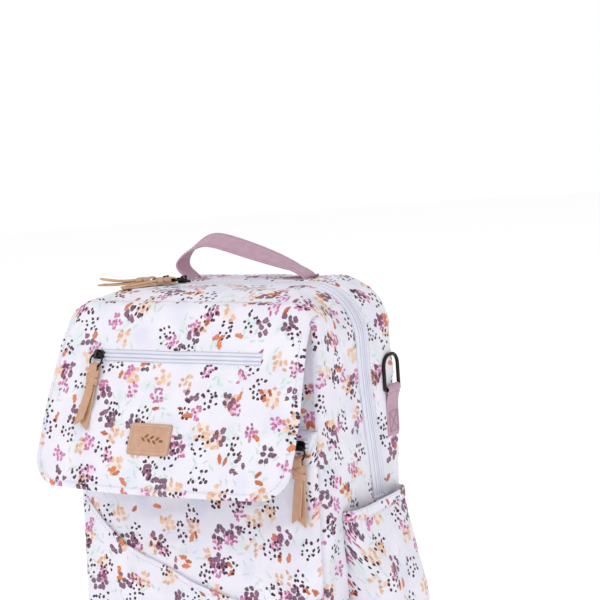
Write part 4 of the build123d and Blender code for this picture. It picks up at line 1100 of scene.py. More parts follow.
def build_main_zip():
    """The main zip's two coated bands round the bag, their bindings inside, and the little end tabs."""
    path, out = zip_path(171.0)
    for half, bodies in (("front", ("bag", "front_top")), ("back", "bag")):
        front = half == "front"
        sign = -1 if front else 1
        c = np.linspace(0.12, 11.9, 44)
        if front:
            rise = ridged(c, 0.35, ((0.6, -0.9, 0.45), (3.4, 0.9, 2.2), (8.6, -0.9, 0.8),
                                    (10.4, 0.35, 1.2)))
        else:
            rise = ridged(c, 0.35, ((0.6, -0.9, 0.45), (3.6, 0.9, 2.3), (9.0, -1.5, 0.7), (10.6, 0.2, 0.8)))
        section = np.concatenate((np.stack((c, rise), 1),
                                  np.stack((c[::-4], np.full(len(c[::-4]), -2.0)), 1)))
        shape = Shape()
        shape.sweep(path + (0, ZIP_Y, 0), (0, sign, 0), section, out=out)
        # binding of the seam inside the shell's edge
        turn = np.linspace(0, 2 * np.pi, 18, endpoint=False)
        roll = np.stack((11.0 + 1.3 * np.cos(turn), -3.0 + 2.9 * np.sin(turn)), 1)
        shape.sweep(path + (0, ZIP_Y, 0), (0, sign, 0), roll, out=out, finish=1)
        if not front:
            # a dark strip in the groove near the back band's edge: painted shade
            line = np.stack((np.linspace(8.55, 9.45, 5), np.full(5, -1.03)), 1)
            line = np.concatenate((line, line[::-1] - (0, 0.3)))
            shape.sweep(path + (0, ZIP_Y, 0), (0, sign, 0), line, out=out, finish=2)
        finishes = ["polyurethane_coated_zip_tape", "polyester_lining_woven", "painted_shade_zip_groove_strip"]
        rest_on(shape.piece(f"main_zip_band_{half}", finishes), bodies,
                (f"main_zip_tape_{half}",))
    # end tabs: the zip's ends run down under a small folded patch
    for side, place in ((-1, "left"), (1, "right")):
        shape = Shape()
        z = np.linspace(158, 173.5, 14)
        line = np.stack((np.full(14, side * (HALF + 0.9)), ZIP_Y + slant(z), z), 1)
        narrow = np.stack((0.45 + 0.55 * soft_step(z, 156, 170), 1 - 0.4 * soft_step(-z, -162, -158)), 1)
        shape.sweep(line, (0, 1, 0), band_section(22.0, 1.6, 0.8), out=(side, 0, 0), grow=narrow)
        across = ZIP_Y + 15.0 + np.linspace(-8, 8, 9)
        for height in (165.0, 167.5):
            shape.stitches(np.stack((np.full(9, side * (HALF + 2.4)), across, np.full(9, height)), 1),
                           (side, 0, 0), finish=1,
                           long=1.6, pitch=2.0)
        piece = shape.piece(f"zip_end_tab_{place}",
                            ["polyurethane_coated_zip_tape", "spun_polyester_thread_white"])
        rest_on(piece, "bag", ("zip_end_stops",) if side < 0 else ())


# ======== leather pulls
# each pull's place on the cloth, and how far it is turned off the straight line to the front, in degrees
PULL_PLACES = {
    "flap": (-96.0, None),
    "pocket": (134.0, None),
    "main_left": (-92.0, 45.0),
    "main_right": (-68.0, 30.0),
}


def pull_frame(name):
    """The pull's eye and its three directions: right, up towards the slider, and out of the cloth."""
    x, turn = PULL_PLACES[name]
    right = np.array((1.0, 0.0, 0.0))
    if name == "flap":
        origin = flap_point(x, FLAP_ZIP_DOWN, FLAP_FACE)
        up = -FLAP_DOWN
        out = FLAP_OUT
    elif name == "pocket":
        origin = np.array((x, front_at(POCKET_ZIP_Z) - POCKET_DEEP, POCKET_ZIP_Z))
        lean = math.atan(FRONT_LEAN / HEIGHT)
        out = np.array((0, -math.cos(lean), math.sin(lean)))
        up = np.cross(out, right)
    else:
        origin = np.array((x, ZIP_Y, HEIGHT))
        turn = math.radians(turn)
        right = np.array((math.cos(turn), -math.sin(turn), 0.0))
        out = np.array((0.0, 0.0, 1.0))
        up = np.cross(out, right)
    return origin + out * PULL_EYE_OUT - up * 7.0, right, up, out


def placed(points, pull):
    """Points of a pull's own right, up and out axes, in the row frame."""
    centre, right, up, out = pull
    points = np.asarray(points, float)
    return centre + points[..., :1] * right + points[..., 1:2] * up + points[..., 2:] * out


def strip(shape, pull, path, wide, thick, sides=(1, 0, 0), grow=None):
    """A leather strip: a flat band swept along a path, its cut edges in their own finish."""
    path = np.asarray(path, float)
    section = band_section(wide, thick, 0.35) - (0, thick / 2)
    side = unit(np.broadcast_to(np.asarray(sides, float), path.shape))
    turned = side @ np.stack(pull[1:])
    begin = len(shape.finishes)
    shape.sweep(placed(path, pull), turned, section, grow=grow)
    marks = shape.finishes[begin]
    columns = len(section)
    rows = len(path) - 1
    across = np.tile(np.abs(section[:, 0] + np.roll(section[:, 0], -1)) / 2 > wide / 2 - 0.45, rows)
    marks[: rows * columns][across] = 1


def tail(shape, pull, spread, lift, curl, long, cut, wide=9.6, thick=2.0):
    """One loose end: a strip whose tip is cut on a slant, lifting and turning a little on its way down.

    The point at a share s of a line across the strip lies s (long + cut * across) down it.
    """
    section = band_section(wide, thick, 0.35) - (0, thick / 2)
    share = np.linspace(0, 1, 30)[:, None]
    along = share * (long + cut * section[None, :, 0] / wide)
    turn = math.radians(spread)
    rise = lift + curl * (along / long) ** 2 + 0.5 * np.sin(along / long * 5.0 + spread)
    slope = 2 * curl * along / long**2
    cup = 0.5 * (section[None, :, 0] / wide * 2) ** 2 * share
    narrow = 0.8 + 0.2 * soft_step(share, 0, 0.25)
    x = section[None, :, 0] * narrow + 0.8 * np.sin(along / long * 3.0 + spread)
    y = -along + slope * section[None, :, 1]
    z = rise + cup + section[None, :, 1]
    aside = x * math.cos(turn) - y * math.sin(turn)
    up = x * math.sin(turn) + y * math.cos(turn) - 22.0
    points = placed(np.stack((aside, up, z), -1), pull)
    rows, columns = points.shape[:2]
    index = np.hstack((np.arange(rows * columns).reshape(rows, columns),
                       np.arange(rows)[:, None] * columns))
    quads = np.stack((index[:-1, :-1], index[1:, :-1], index[1:, 1:], index[:-1, 1:]), -1).reshape(-1, 4)
    edge = np.tile(np.abs(section[:, 0] + np.roll(section[:, 0], -1)) / 2 > wide / 2 - 0.45, rows - 1)
    shape.add(points, quads, finish=0)
    shape.finishes[-1][edge] = 1
    half = columns // 2
    middle = placed(np.array((0, -22.0 - long / 2, 0)), pull)
    for row in (points[0], points[-1]):
        shape.grid(np.stack((row[:half], row[-half:][::-1])), finish=1, away=middle)


def build_pulls():
    """Four leather pulls: a loop through the ring, a knot of two slanted wraps, and two tails."""
    for name, body, curl in (("flap", "flap_pull", 1.2), ("pocket", "pocket_pull", 1.0),
                             ("main_left", "main_left_pull", 3.0),
                             ("main_right", "main_right_pull", -3.5)):
        pull = pull_frame(name)
        shape = Shape()
        loop_path = smooth_path(((0, -17, 1.7), (0, -11, 2.5), (0, -6.8, 3.0), (0, -4.2, 1.9), (0, -4.0, 0),
                                 (0, -4.2, -1.9),
                                 (0, -6.8, -3.0), (0, -11, -2.5), (0, -17, -1.7)), 0.7)
        strip(shape, pull, loop_path, 9.6, 1.5)
        turn = np.linspace(0, 2 * np.pi, 56)
        for slope, size, width, shift in ((0.55, 0.9, 7.6, 0.8), (-0.48, 1.02, 6.6, -1.4)):
            down = -19.5 + shift + slope * 6.9 * np.cos(turn)
            ring = np.stack((6.9 * size * np.cos(turn), down, 3.1 * size * np.sin(turn)), 1)
            strip(shape, pull, ring, width, 1.7, sides=(0, 1, 0))
        core = smooth_path(((0, -12, 0), (0, -15, 0), (0, -19, 0), (0, -24, 0), (0, -27, 0)), 1.0)
        swell = 0.6 + 0.4 * np.sin(np.linspace(0, np.pi, len(core)))
        strip(shape, pull, core, 10.0, 4.6, grow=np.stack((np.ones(len(core)), swell), 1))
        long = 43.0 if name.startswith("main") else 49.0
        tail(shape, pull, 1.5, -1.4, curl * 0.3, long, 8.0)
        tail(shape, pull, -4.0, 1.3, curl, long - 4.0, -8.0)
        piece = shape.piece(f"{name}_pull_strap",
                            ["leather_vegetable_tanned_smooth", "leather_cut_edge_raw"])
        rest_on(piece, body, (f"{name}_pull_leather",))


def build_label(settings):
    """Leather label: a domed plate with rounded corners, a row of stitches, a debossed sprig of leaves."""
    half_x, half_d, corner = 26.0, 16.0, 3.5
    rings = []
    turn = np.linspace(0, 2 * np.pi, 120, endpoint=False)
    for inset, out in ((0.0, -0.1), (0.0, 1.1), (0.35, 1.55), (1.0, 1.8), (2.4, 1.86), (3.0, 1.62),
                       (3.6, 1.88), (8, 2.0), (15, 2.1)):
        hx, hd, r = half_x - inset, half_d - inset, max(corner - inset, 0.6)
        cx = np.clip(np.cos(turn) * 1.5 * half_x, -(hx - r), hx - r)
        cd = np.clip(np.sin(turn) * 1.5 * half_x, -(hd - r), hd - r)
        rings.append(np.stack((cx + r * np.cos(turn), cd + r * np.sin(turn), np.full(120, out)), 1))
    rings = np.stack(rings)

    def on_flap(points):
        """Points of the label's own plane, laid on the flap's face."""
        x = points[..., 0] + LABEL_X
        down = points[..., 1] + LABEL_DOWN
        return flap_face(x, down, settings, points[..., 2] + 0.1)

    under = flap_point(LABEL_X, LABEL_DOWN, 0.0)
    shape = Shape()
    shape.grid(on_flap(rings), rings[..., :2], away=under, close_columns=True)
    middle = np.stack((rings[-1], rings[-1] * (0.9, 0, 1)))
    shape.grid(on_flap(middle), middle[..., :2], away=under, close_columns=True)
    edge = rings[4].copy()
    edge[:, :2] *= 0.985
    edge = np.vstack((edge, edge[:1]))
    shape.stitches(on_flap(edge), FLAP_OUT, long=1.7, pitch=2.6, thick=0.3, finish=1)
    # sprig: a stem and seven pointed leaves, each a small lens with its middle pressed in
    stem = np.stack((np.linspace(-13, 13, 40), 1.6 * np.sin(np.linspace(-13, 13, 40) / 8.0),
                     np.full(40, 2.02)), 1)
    section = band_section(0.7, 0.25, 0.1)
    shape.sweep(on_flap(stem), (0, 0.44, 0.9), section, finish=2)
    for place, sign in ((-9, 1), (-5.5, -1), (-2, 1), (1.5, -1), (5, 1), (8.5, -1), (12.5, 0)):
        s, t = np.meshgrid(np.linspace(0, 1, 12), np.linspace(-1, 1, 9))
        angle = math.radians(38) * sign
        lx = s * 6.2
        ly = t * 1.35 * np.sin(np.pi * s) ** 0.8
        x = place + lx * math.cos(angle) - ly * math.sin(angle)
        d = 1.6 * math.sin(place / 8.0) + lx * math.sin(angle) + ly * math.cos(angle)
        leaf = np.stack((x, d, 2.12 + 0.12 * (1 - t**2)), -1)
        shape.grid(on_flap(leaf), leaf[..., :2], finish=2, away=under)
    finishes = ["leather_vegetable_tanned_smooth", "spun_polyester_thread_white", "leather_debossed_line"]
    piece = shape.piece("leather_label_plate", finishes)
    rest_on(piece, "flap", ("leather_label",))


# ======== webbing
def box_stitch(shape, corners, out, finish=1):
    """A box with its two diagonals, sewn through webbing; corners are its four points in order."""
    corners = np.asarray(corners, float)
    loops = np.concatenate((corners, corners[:1]))
    for first, second in list(zip(loops[:-1], loops[1:])) + [(corners[0], corners[2]),
            (corners[1], corners[3])]:
        line = first + (second - first) * np.linspace(0, 1, 12)[:, None]
        shape.stitches(line, out, long=2.0, pitch=2.7, thick=0.34, finish=finish)


def build_handle():
    """Top handle: webbing in a loop with soft bends, its ends sewn flat on the top panel."""
    finishes = ["polyester_webbing_herringbone_mauve", "spun_polyester_thread_mauve"]
    corners = ((-73.5, 398.5), (-78, 404), (-88, 411), (-91.0, 419.0), (-82, 430), (-68, 439), (-56, 443.6),
               (-44, 443.6),
               (-28, 440.0), (-4, 433.0), (22, 425.0), (44, 417.6), (60, 411.4), (70, 406.5), (75, 402.0),
               (73.5, 398.5))
    path = smooth_path(corners, 1.5, 3)
    rise = (path[:, 1] - 400) / 48
    line = np.stack((path[:, 0], HANDLE_Y + 1.2 * rise, path[:, 1]), 1)
    twist = 0.55 * np.sin(np.pi * np.clip((np.linspace(0, 1, len(path)) - 0.12) / 0.76, 0, 1)) ** 0.7
    side = np.stack((0 * twist, np.cos(twist), np.sin(twist)), 1)
    section = band_section(WEBBING, 2.6, 0.9, 13) - (0, 1.3)
    shape = Shape()
    shape.sweep(line, side, section)
    tangent = unit(np.gradient(line, axis=0))
    out = np.cross(side, tangent)
    for across in (-10.2, 10.2):
        for face in (1, -1):
            shape.stitches(line + side * across + out * face * 1.3, out * face, finish=1,
                           pitch=4.2, thick=0.34)
    rest_on(shape.piece("top_handle_webbing", finishes), ("bag", "handle"),
            ("handle",))
    for sign, place in ((-1, "left"), (1, "right")):
        shape = Shape()
        x = sign * np.concatenate((np.linspace(48.0, 74.0, 18),
                                   74.0 + 4.5 * np.sin(np.linspace(0.2, 1.2, 6))))
        z = np.concatenate((np.full(18, 401.1), 401.1 + 4.5 * (1 - np.cos(np.linspace(0.2, 1.2, 6)))))
        pad = np.stack((x, np.full(len(x), HANDLE_Y), z), 1)
        shape.sweep(pad, (0, 1, 0), band_section(WEBBING, 1.9, 0.8, 13) - (0, 0.9), out=(0, 0, 1))
        low, high = sorted((sign * 51.0, sign * 69.0))
        near, far, face = HANDLE_Y - 9, HANDLE_Y + 9, 402.1
        box_stitch(shape, ((low, near, face), (high, near, face), (high, far, face), (low, far, face)),
                   (0, 0, 1))
        rest_on(shape.piece(f"handle_end_patch_{place}", finishes), "bag",
                (f"handle_anchor_{place}",))


def build_ring_tabs():
    """Side tabs: webbing folded through the ring and sewn down on the gusset with a box stitch."""
    finishes = ["polyester_webbing_herringbone_mauve", "spun_polyester_thread_mauve"]
    for sign, place in ((-1, "left"), (1, "right")):
        turn = np.linspace(-0.55 * np.pi, 1.05 * np.pi, 30)
        bow = np.stack((TAB_LOOP_X + 3.6 * np.cos(turn), TAB_LOOP_Z + 3.6 * np.sin(turn)), 1)
        corners = np.concatenate((((152.0, 231.0), (153.4, 236.0), (153.2, 262.0), (154.6, 273.0),
                                   (157.4, 278.5)), bow,
                                  ((151.1, 277.0), (151.4, 262.0), (151.2, 236.0))))
        path = smooth_path(corners, 0.9, 2)
        line = np.stack((sign * path[:, 0], np.full(len(path), TAB_Y), path[:, 1]), 1)
        shape = Shape()
        shape.sweep(line, (0, 1, 0), band_section(WEBBING, 1.5, 0.6, 13) - (0, 0.75))
        face = sign * 154.5
        near, far = TAB_Y - 8.5, TAB_Y + 8.5
        box_stitch(shape, ((face, near, 236.5), (face, far, 236.5), (face, far, 258), (face, near, 258)),
                   (sign, 0, 0))
        rest_on(shape.piece(f"ring_tab_webbing_{place}", finishes), "bag",
                (f"ring_tab_{place}",))


# ======== back panel and shoulder straps
def inflate(piece, pressure, cap, grain):
    """Fill a closed cloth piece with a short pressure simulation, within `cap` metres of its first form.

    A copy is remeshed to even faces of `grain` metres, blown up for twenty frames without gravity and read
    back.
    """
    scene = bpy.context.scene
    work = bpy.data.objects.new("inflate_work", piece.data.copy())
    scene.collection.objects.link(work)
    remesh = work.modifiers.new("even faces", "REMESH")
    remesh.mode = "VOXEL"
    remesh.voxel_size = grain
    bpy.context.view_layer.update()
    even = bpy.data.meshes.new_from_object(work.evaluated_get(bpy.context.evaluated_depsgraph_get()))
    work.modifiers.clear()
    work.data = even
    start = read(even.vertices, "co")
    cloth = work.modifiers.new("pressure", "CLOTH")
    cloth.settings.quality = 5
    cloth.settings.mass = 0.2
    cloth.settings.use_pressure = True
    cloth.settings.uniform_pressure_force = pressure
    cloth.settings.tension_stiffness = 30
    cloth.settings.compression_stiffness = 30
    cloth.settings.shear_stiffness = 10
    cloth.settings.bending_stiffness = 0.8
    cloth.settings.effector_weights.gravity = 0.0
    cloth.collision_settings.use_collision = False
    cloth.point_cache.frame_start = 1
    cloth.point_cache.frame_end = 20
    for step in range(1, 21):
        scene.frame_set(step)
    blown = bpy.data.meshes.new_from_object(work.evaluated_get(bpy.context.evaluated_depsgraph_get()))
    scene.frame_set(1)
    move = read(blown.vertices, "co") - start
    far = np.linalg.norm(move, axis=1, keepdims=True)
    move *= np.minimum(1.0, cap / np.maximum(far, 1e-9))
    blown.vertices.foreach_set("co", (start + move).astype(np.float32).ravel())
    blown.materials.clear()
    for material in piece.data.materials:
        blown.materials.append(material)
    blown.polygons.foreach_set("use_smooth", np.ones(len(blown.polygons), bool))
    blown.update()
    piece.data = blown
    bpy.data.objects.remove(work)
    smooth = piece.modifiers.new("even surface", "SUBSURF")
    smooth.levels = 1
    smooth.render_levels = 1


def build_back_pad():
    """Back pad: a rounded pillow quilted into channels, its spacer mesh face inside a printed border."""
    half, low, high, corner = 128.0, 60.0, 350.0, 36.0
    t = np.linspace(-1, 1, 111)
    rows = np.linspace(low, high, 125)
    into = np.clip(np.maximum(corner - (rows - low), corner - (high - rows)), 0, corner)
    wide = half - rounded(corner, into)
    x = wide[:, None] * t
    z = rows[:, None] + 0 * x
    qx = np.abs(x) - (half - corner)
    qz = np.abs(z - (low + high) / 2) - ((high - low) / 2 - corner)
    round_corner = corner - np.hypot(np.maximum(qx, 0), np.maximum(qz, 0))
    inside = np.where((qx > 0) & (qz > 0), round_corner, corner - np.maximum(qx, qz))
    inside = np.clip(inside, 0, None)
    swell = 10.0 * np.sqrt(np.clip(1 - (1 - np.clip(inside / 9.0, 0, 1)) ** 2, 0, 1)) - 1.2
    channel = 0.0
    for place in (-44.0, 44.0):
        channel = channel + 5.2 * np.exp(-(((x - place - 8 * np.sin((z - 205) / 70.0) * np.sign(place))
            / 6.5) ** 2))
    for place in (140.0, 205.0, 270.0):
        across = place + 10.0 * np.cos(x / 44.0)
        ends = np.clip((100 - np.abs(x)) / 12, 0, 1)
        channel = channel + 3.4 * np.exp(-(((z - across) / 5.5) ** 2)) * ends
    border = 1.6 * np.exp(-(((inside - 14.0) / 2.0) ** 2))
    y = BACK_Y + np.maximum(swell - np.minimum(channel, 6.0) * np.clip((inside - 12) / 8, 0, 1) - border,
                            -0.8)
    y += 0.5 * ripple(x, z, 71, 45) * np.clip(inside / 14, 0, 1)
    shape = Shape()
    shape.grid(np.stack((x, y, z), -1), np.stack((x + 700, z), -1), away=(0, 0, 200))
    # faces near the border are printed cloth, the rest is mesh
    centre_inside = (inside[:-1, :-1] + inside[1:, 1:]) / 2
    shape.finishes[-1][:] = (centre_inside.ravel() > 13.5).astype(int)
    finishes = ["coated_twill_screen_printed", "spacer_mesh_warp_knitted", "spun_polyester_thread_white"]
    turn = np.linspace(0, 2 * np.pi, 260)
    hx, hz, r = half - 16.5, (high - low) / 2 - 16.5, corner - 16.5
    cx = np.clip(np.cos(turn) * 400, -(hx - r), hx - r)
    cz = np.clip(np.sin(turn) * 400, -(hz - r), hz - r)
    line = np.stack((cx + r * np.cos(turn), np.full(260, BACK_Y + 8.4),
                     (low + high) / 2 + cz + r * np.sin(turn)), 1)
    shape.stitches(line, (0, 1, 0), finish=2)
    piece = shape.piece("back_pad_quilted", finishes)
    rest_on(piece, "bag", ("back_pad",))


def strap_line():
    """Middle of a shoulder strap from the side: y and z from the yoke, out in a bow, to the ladder lock."""
    corners = ((82.0, 371.0), (92.0, 372.5), (103.0, 360.0), (110.0, 335.0), (113.5, 300.0), (114.0, 262.0),
               (111.0, 220.0),
               (105.0, 180.0), (98.5, 150.0), (94.0, 129.0))
    return smooth_path(corners, 2.6, 4)


def build_straps(settings):
    """Shoulder straps: padded shells with rolled edges, printed outside and mesh inside, on the sewn yoke."""
    line = strap_line()
    count = len(line)
    along = np.linspace(0, 1, count)
    wide = 29.0 - 3.0 * soft_step(along, 0.55, 1.0) - 9.0 * soft_step(along, 0.93, 1.0)
    turn = np.linspace(0, 2 * np.pi, 56, endpoint=False)
    tangent = unit(np.gradient(line, axis=0))
    out = np.stack((tangent[:, 1], -tangent[:, 0]), 1)
    out *= np.sign(out[count // 2, 0])
    for sign, place in ((-1, "left"), (1, "right")):
        sweepx = sign * (SHOULDER_X - 1.5 * np.sin(np.pi * along))
        a = np.sign(np.cos(turn)) * np.abs(np.cos(turn)) ** 0.7
        b = np.sign(np.sin(turn)) * np.abs(np.sin(turn)) ** 0.75
        thick = 5.6 * np.sqrt(np.clip(np.minimum(along, 1 - along) / 0.025, 0.08, 1))
        across = wide[:, None] * a
        height = thick[:, None] * b
        height += 0.6 * ripple(across, along[:, None] * 290, 81 + sign, 36) * np.abs(b)
        seam = np.exp(-((np.abs(across) - wide[:, None] + 4.5) ** 2) / 2.2)
        height -= 1.1 * seam * np.sign(b)
        y = line[:, :1] + out[:, :1] * height
        z = line[:, 1:] + out[:, 1:] * height
        points = np.stack((sweepx[:, None] + across, y, z), -1)
        uv = np.stack((across + 900 + 90 * sign, along[:, None] * 290 + 0 * across), -1)
        shape = Shape()
        shape.grid(points, uv, close_columns=True)
        rows = count - 1
        inner = np.tile((b + np.roll(b, -1) < -0.15), rows)
        shape.finishes[-1][inner] = 1
        for row in (points[0], points[-1]):
            shape.grid(np.stack((row, row.mean(0) + 0 * row)), finish=0, close_columns=True,
                       away=points[count // 2].mean(0))
        finishes = ["coated_twill_screen_printed", "spacer_mesh_warp_knitted"]
        piece = shape.piece(f"shoulder_strap_padded_{place}", finishes)
        fill_strap(piece, settings)
        rest_on(piece, "bag", (f"shoulder_strap_{place}",))
        thread = Shape()
        for edge in (-1, 1):
            row = np.stack((sweepx + edge * (wide - 4.3), line[:, 0] + out[:, 0] * 5.0,
                            line[:, 1] + out[:, 1] * 5.0), 1)
            facing = np.stack((0 * along, out[:, 0], out[:, 1]), 1)
            row = row + facing * (surface_lift(piece, row, facing) + 0.2)[:, None]
            thread.stitches(row[2:-3], facing[2:-3], pitch=4.2)
        rest_on(thread.piece(f"shoulder_strap_thread_{place}", ["spun_polyester_thread_white"]),
                "bag")
        # webbing: out of the strap's end, through the ladder lock, down to the foot of the back
        corners = ((94.5, 137.0), (94.0, 128.0), (92.8, 121.0), (93.6, 116.6), (96.2, 113.8), (97.0, 110.0),
                   (95.6, 106.0),
                   (92.0, 103.2), (88.8, 97.0), (86.6, 84.0), (86.4, 66.0), (82.0, 54.0), (78.6, 44.0),
                   (77.6, 34.0), (77.4, 22.0))
        path = smooth_path(corners, 1.6, 3)
        web = Shape()
        web.sweep(np.stack((np.full(len(path), sign * SHOULDER_X), path[:, 0], path[:, 1]), 1), (1, 0, 0),
                  band_section(WEBBING, 1.8, 0.7, 13) - (0, 0.9))
        face = 78.5
        box_stitch(web, ((sign * SHOULDER_X - 9, face, 25), (sign * SHOULDER_X + 9, face, 25),
                         (sign * SHOULDER_X + 9, face, 41),
                         (sign * SHOULDER_X - 9, face, 41)), (0, 1, 0))
        rest_on(web.piece(f"strap_webbing_{place}",
                          ["polyester_webbing_herringbone_mauve", "spun_polyester_thread_mauve"]),
                "bag", (f"lower_webbing_{place}",))


def surface_lift(piece, row, facing):
    """How far out the piece's surface lies from each point of a row.

    It is the furthest corner of the mesh within 4 mm of the line out, or 0 where there is none.
    """
    gap = read(piece.data.vertices, "co") * 1000 - row[:, None]
    lift = np.sum(gap * facing[:, None], 2)
    beside = np.linalg.norm(gap - lift[..., None] * facing[:, None], axis=2)
    lift = np.where((beside < 4.0) & (np.abs(lift) < 8.0), lift, -99.0).max(1)
    return np.where(lift > -90.0, lift, 0.0)


def fill_strap(piece, settings):
    """Blow up one strap, then give it back its cloth coordinates, and its finishes by how each face turns."""
    inflate(piece, settings.pressure, settings.cap, 0.005)
    mesh = piece.data
    spots = read(mesh.vertices, "co") * 1000
    corner = np.zeros(len(mesh.loops), np.int32)
    mesh.loops.foreach_get("vertex_index", corner)
    layer = mesh.uv_layers.new(name="cloth")
    uv = np.stack((spots[:, 0] + 900, 400 - spots[:, 2]), 1) / 1000
    layer.data.foreach_set("uv", uv[corner].astype(np.float32).ravel())
    normal = read(mesh.polygons, "normal")
    mesh.polygons.foreach_set("material_index", (normal[:, 1] < -0.12).astype(np.int32))
    mesh.update()


def build_yoke():
    """Yoke: a sewn panel over the strap ends, edged with two rows of stitching."""
    x = np.linspace(-105, 105, 90)
    z = np.linspace(350.6, 384.6, 26)
    xx, zz = np.meshgrid(x, z)
    edge = np.minimum(105 - np.abs(xx), 17 - np.abs(zz - YOKE_Z))
    rolled = np.sqrt(np.clip(1 - (1 - np.clip(edge / 4.0, 0, 1)) ** 2, 0, 1))
    rise = 4.8 * rolled + 0.5 * ripple(xx, zz, 91, 30)
    shape = Shape()
    shape.grid(np.stack((xx, BACK_Y - 0.4 + rise, zz), -1), np.stack((xx + 1100, zz), -1), away=(0, 0, 367))
    for inset in (4.6, 7.4):
        hx, hz = 105 - inset, 17 - inset
        corners = np.array(((-hx, -hz), (hx, -hz), (hx, hz), (-hx, hz), (-hx, -hz)))
        for first, second in zip(corners[:-1], corners[1:]):
            t = np.linspace(0, 1, 50)[:, None]
            flat = first + (second - first) * t
            line = np.stack((flat[:, 0], np.full(50, BACK_Y + 4.9), YOKE_Z + flat[:, 1]), 1)
            shape.stitches(line, (0, 1, 0), finish=1)
    rest_on(shape.piece("strap_yoke_cloth", ["coated_twill_screen_printed", "spun_polyester_thread_white"]),
            "bag",
            ("strap_yoke",))


# ======== finishes on the frame's own pieces
CAD_FINISHES = {
    "polyester_lining_woven": ("lining_back", "mat_sleeve", "inner_pocket"),
    "mat_cloth_wipe_clean": ("changing_mat",),
    "hardboard_pressed": ("base_board",),
    "steel_nickel_plated": ("flap_magnets", "pocket_magnets"),
    "zinc_die_cast_gunmetal_plated": (
        "flap_slider", "pocket_slider", "main_left_slider", "main_right_slider", "flap_pull_ring",
        "pocket_pull_ring",
        "main_left_pull_ring", "main_right_pull_ring", "side_ring_left", "side_ring_right"),
    "acetal_injection_moulded_grey": ("ladder_lock_left", "ladder_lock_right"),
}


def finish_frame():
    """Give every piece of the frame that still shows a finish of its real material."""
    for finish, names in CAD_FINISHES.items():
        for name in names:
            mesh = NODES[name].data
            mesh.materials.clear()
            mesh.materials.append(bpy.data.materials[finish])


# ======== stage
def build_stage(settings):
    """Pale floor, white surroundings, three large soft lights, and a camera to the left of the front."""
    scene = bpy.context.scene
    mesh = bpy.data.meshes.new("studio_floor")
    turn = np.linspace(0, 2 * np.pi, 64, endpoint=False)
    rim = np.stack((6 * np.cos(turn), 6 * np.sin(turn), 0 * turn - 0.0002), 1)
    mesh.from_pydata(rim.tolist(), [], [list(range(64))])
    floor = bpy.data.objects.new("studio_floor", mesh)
    scene.collection.objects.link(floor)
    tree, surface = finish_of("painted_board_matte_white", Roughness=0.9)
    surface.inputs["Base Color"].default_value = colour("#F4F4F6")
    surface.inputs["Emission Color"].default_value = (1.0, 1.0, 1.0, 1.0)
    surface.inputs["Emission Strength"].default_value = 0.33
    mesh.materials.append(bpy.data.materials["painted_board_matte_white"])
    world = bpy.data.worlds.new("studio")
    world.use_nodes = True
    tree = world.node_tree
    seen = node(tree, "LightPath", output="Is Camera Ray")
    strength = node(tree, "MapRange", {"Value": seen, "To Min": settings.surround, "To Max": 1.0})
    tree.links.new(strength, tree.nodes["Background"].inputs["Strength"])
    tree.nodes["Background"].inputs["Color"].default_value = (1.0, 1.0, 1.0, 1.0)
    scene.world = world
    for name, place, size, power in (
        ("key", (-1.7, -2.3, 2.2), 1.8, settings.key),
        ("fill", (2.4, -1.6, 1.3), 2.2, settings.fill),
        ("top", (0.2, 0.3, 3.0), 2.5, settings.top),
    ):
        light = bpy.data.lights.new(name, "AREA")
        light.size = size
        light.energy = power
        lamp = bpy.data.objects.new(name, light)
        lamp.location = place
        lamp.rotation_euler = (Vector((0, 0, 0.2)) - Vector(place)).to_track_quat("-Z", "Y").to_euler()
        scene.collection.objects.link(lamp)
    back = Vector((math.sin(CAMERA_TURN) * math.cos(CAMERA_RISE),
                   -math.cos(CAMERA_TURN) * math.cos(CAMERA_RISE), math.sin(CAMERA_RISE)))
    right = Vector((math.cos(CAMERA_TURN), math.sin(CAMERA_TURN), 0))
    up = back.cross(right)
    target = Vector((0, 0, 0.2)) + right * CAMERA_ASIDE + up * CAMERA_HIGH
    rolled_right = right * math.cos(CAMERA_ROLL) + up * math.sin(CAMERA_ROLL)
    rolled_up = up * math.cos(CAMERA_ROLL) - right * math.sin(CAMERA_ROLL)
    lens = bpy.data.cameras.new("camera")
    lens.lens = CAMERA_LENS
    lens.sensor_width = 36.0
    camera = bpy.data.objects.new("camera", lens)
    place = target + back * CAMERA_FAR
    camera.matrix_world = Matrix(
        ((rolled_right.x, rolled_up.x, back.x, place.x), (rolled_right.y, rolled_up.y, back.y, place.y),
         (rolled_right.z, rolled_up.z, back.z, place.z), (0, 0, 0, 1)))
    scene.collection.objects.link(camera)
    scene.camera = camera
    scene.view_settings.view_transform = "Standard"
    scene.view_settings.look = "None"


# ======== add-on
class BAG_PG_cloth(bpy.types.PropertyGroup):
    """Sizes of the cloth's swell and creases."""

    crown: bpy.props.FloatProperty(name="Crown", description="How far panels swell between their seams",
                                   default=0.0024,
                                   unit="LENGTH", subtype="DISTANCE")
    crease: bpy.props.FloatProperty(name="Creases", description="Strength of the soft creases",
                                    default=1.35)
    gape: bpy.props.FloatProperty(name="Pocket gape",
                                  description="How far the slip pocket's mouth stands off", default=1.0)
    wear: bpy.props.FloatProperty(name="Gloss change", description="How much the coating's gloss wanders",
                                  default=0.08)
    ground: bpy.props.StringProperty(name="Ground",
        description="sRGB hex colour of the printed cloth's ground", default="#E1DEEA")


class BAG_PG_padding(bpy.types.PropertyGroup):
    """How the padded pieces are filled."""

    pressure: bpy.props.FloatProperty(name="Pressure",
        description="Pressure that fills the straps", default=3.0)
    cap: bpy.props.FloatProperty(name="Most movement", description="Furthest that a point may move",
                                 default=0.005,
                                 unit="LENGTH", subtype="DISTANCE")


